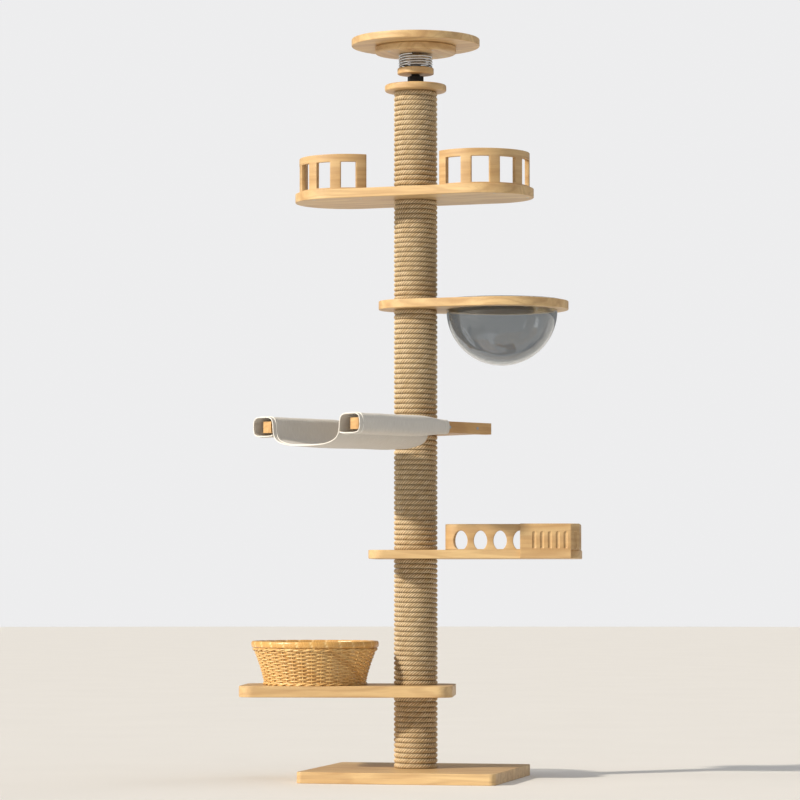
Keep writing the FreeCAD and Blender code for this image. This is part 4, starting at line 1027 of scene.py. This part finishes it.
PIPE_RADIUS = 1.6 * MM
piping = rod("hammock_piping", [hem_path(0.0, 0.0), hem_path(0.032, -CLOTH_THICK / 2 - PIPE_RADIUS * 0.3)],
             PIPE_RADIUS, 8, PIPING)
settle(piping, "hammock", "grey_canvas")
seams = [hem_path(0.052, -CLOTH_THICK / 2), hem_path(0.965, -CLOTH_THICK / 2)]
for index in (16, 20, ACROSS - 21, ACROSS - 17):
    seams.append([cloth_point(index, 0.05 + 0.9 * step / 40) for step in range(41)])
stitching = grow("hammock_stitching", seams, STITCHES, pitch=5.2 * MM, length=3.8 * MM, thread=1.1 * MM,
                 finish=PIPING)
settle(stitching, "hammock", "grey_canvas")

# ---------------------------------------------------------------- finishes for the carried-over pieces

PINE = birch("pine plug", pale="#e3c384", warm="#d3aa64", line="#a87838")
PAPER = wound_paper()
NYLON = moulded_nylon()
BOARDS = {
    "base_board": birch("base birch", 0), "top_collar": birch("collar birch", 20),
    "spring_cup": birch("cup birch", 35), "backing_disc": birch("backing birch", 80),
    "ceiling_board": birch("ceiling birch", -15), "basket_board": birch("basket shelf birch", BASKET_YAW),
    "arch_board": birch("arch shelf birch", ARCH_YAW), "ring_board": birch("ring shelf birch", RING_YAW),
    "fence_board": birch("fence shelf birch", FENCE_YAW),
}
HAMMOCK_WOOD = birch("beech arm", HAMMOCK_YAW, pale="#d3ad76", warm="#bb8f5a", line="#966a3e")
for node, piece in frame["nodes"].items():
    if node in BOARDS:
        look = BOARDS[node]
    elif node.startswith("hammock_"):
        look = HAMMOCK_WOOD
    elif node.startswith("post_tube"):
        look = PAPER
    elif node.startswith("post_plugs"):
        look = PINE
    elif node in ("jack_nut", "jack_washer", "jack_rod"):
        look = BLACK_STEEL
    elif node == "jack_bush":
        look = NYLON
    elif piece.hide_render:
        continue
    else:
        look = ZINC
    for slot in piece.material_slots:
        slot.material = look

# ---------------------------------------------------------------- floor, light and camera

floor_material, floor_tree, floor_shader = finish("pale floor", {"Roughness": 0.7})
floor_place = add(floor_tree, "TexCoord").outputs["Object"]
floor_cloud = add(floor_tree, "TexNoise", {0: floor_place, 2: 2.0, 3: 2.0}).outputs[0]
floor_tone = add(floor_tree, "Mix", {0: floor_cloud, 6: colour("#dfdedc"), 7: colour("#e4e3e1")},
                 data_type="RGBA").outputs[2]
floor_tree.links.new(floor_tone, floor_shader.inputs["Base Color"])
FLOOR_RADIUS, FLOOR_SIDES = 40, 64
floor_points = [round_axis(FLOOR_RADIUS, math.tau * step / FLOOR_SIDES) for step in range(FLOOR_SIDES)]
show("floor", bare_mesh("floor", floor_points, [list(range(FLOOR_SIDES))]), floor_material)

CAMERA_AZIMUTH, CAMERA_REACH, CAMERA_HEIGHT, CAMERA_TILT = 12.0, 11.33, 0.63, 3.0
KEY_AZIMUTH, KEY_ELEVATION, KEY_POWER, KEY_ANGLE = CAMERA_AZIMUTH - 60.0, 28.0, 3.9, 2.5
LENS, SENSOR, CAMERA_ASIDE = 157.5, 36.0, math.atan(15.7 / 3500)
# light from all round, the backdrop as the camera sees it, and three round softboxes: azimuth,
# elevation, half width in degrees and brightness
FILL, BACKDROP = 0.27, 0.88
SOFTBOXES = (-62, 26, 20, 2.0), (128, 34, 18, 1.3), (60, 70, 30, 0.9)


def towards(azimuth, elevation):
    """Unit vector from the post towards a camera or lamp; azimuth grows towards +X."""
    turn, rise = math.radians(azimuth), math.radians(elevation)
    return Vector((math.sin(turn) * math.cos(rise), -math.cos(turn) * math.cos(rise), math.sin(rise)))


key = bpy.data.lights.new("key", "SUN")
key.energy = KEY_POWER
key.angle = math.radians(KEY_ANGLE)
key.color = colour("#fff3e0")[:3]
key_lamp = bpy.data.objects.new("key", key)
key_lamp.rotation_euler = towards(KEY_AZIMUTH, KEY_ELEVATION).to_track_quat("Z", "Y").to_euler()
bpy.context.scene.collection.objects.link(key_lamp)

world = bpy.data.worlds.new("studio")
world.use_nodes = True
world.node_tree.nodes.clear()
around = add(world.node_tree, "TexCoord").outputs["Generated"]
glow = FILL
for box_azimuth, box_elevation, half_width, strength in SOFTBOXES:
    facing = add(world.node_tree, "VectorMath", {0: around, 1: towards(box_azimuth, box_elevation)},
                 operation="DOT_PRODUCT").outputs["Value"]
    lit = add(world.node_tree, "MapRange", {
        0: facing, 1: math.cos(math.radians(half_width)), 2: math.cos(math.radians(half_width * 0.8)),
        4: strength}, interpolation_type="SMOOTHSTEP").outputs[0]
    glow = add(world.node_tree, "Math", {0: glow, 1: lit}, operation="ADD").outputs[0]
seen = add(world.node_tree, "LightPath").outputs["Is Camera Ray"]
glow = add(world.node_tree, "Mix", {0: seen, 2: glow, 3: BACKDROP}, data_type="FLOAT").outputs[0]
sky = add(world.node_tree, "Background", {"Color": colour("#fbfbfc"), "Strength": glow})
add(world.node_tree, "OutputWorld", {"Surface": sky.outputs[0]})
bpy.context.scene.world = world
bpy.context.scene.view_settings.view_transform = "Standard"

camera_data = bpy.data.cameras.new("camera")
camera_data.lens = LENS
camera_data.sensor_width = SENSOR
camera_data.clip_end = 100
camera = bpy.data.objects.new("camera", camera_data)
spot = towards(CAMERA_AZIMUTH, 0) * CAMERA_REACH
camera.location = (spot.x, spot.y, CAMERA_HEIGHT)
camera.rotation_euler = (math.radians(90 + CAMERA_TILT), 0, math.radians(CAMERA_AZIMUTH) + CAMERA_ASIDE)
bpy.context.scene.collection.objects.link(camera)
bpy.context.scene.camera = camera
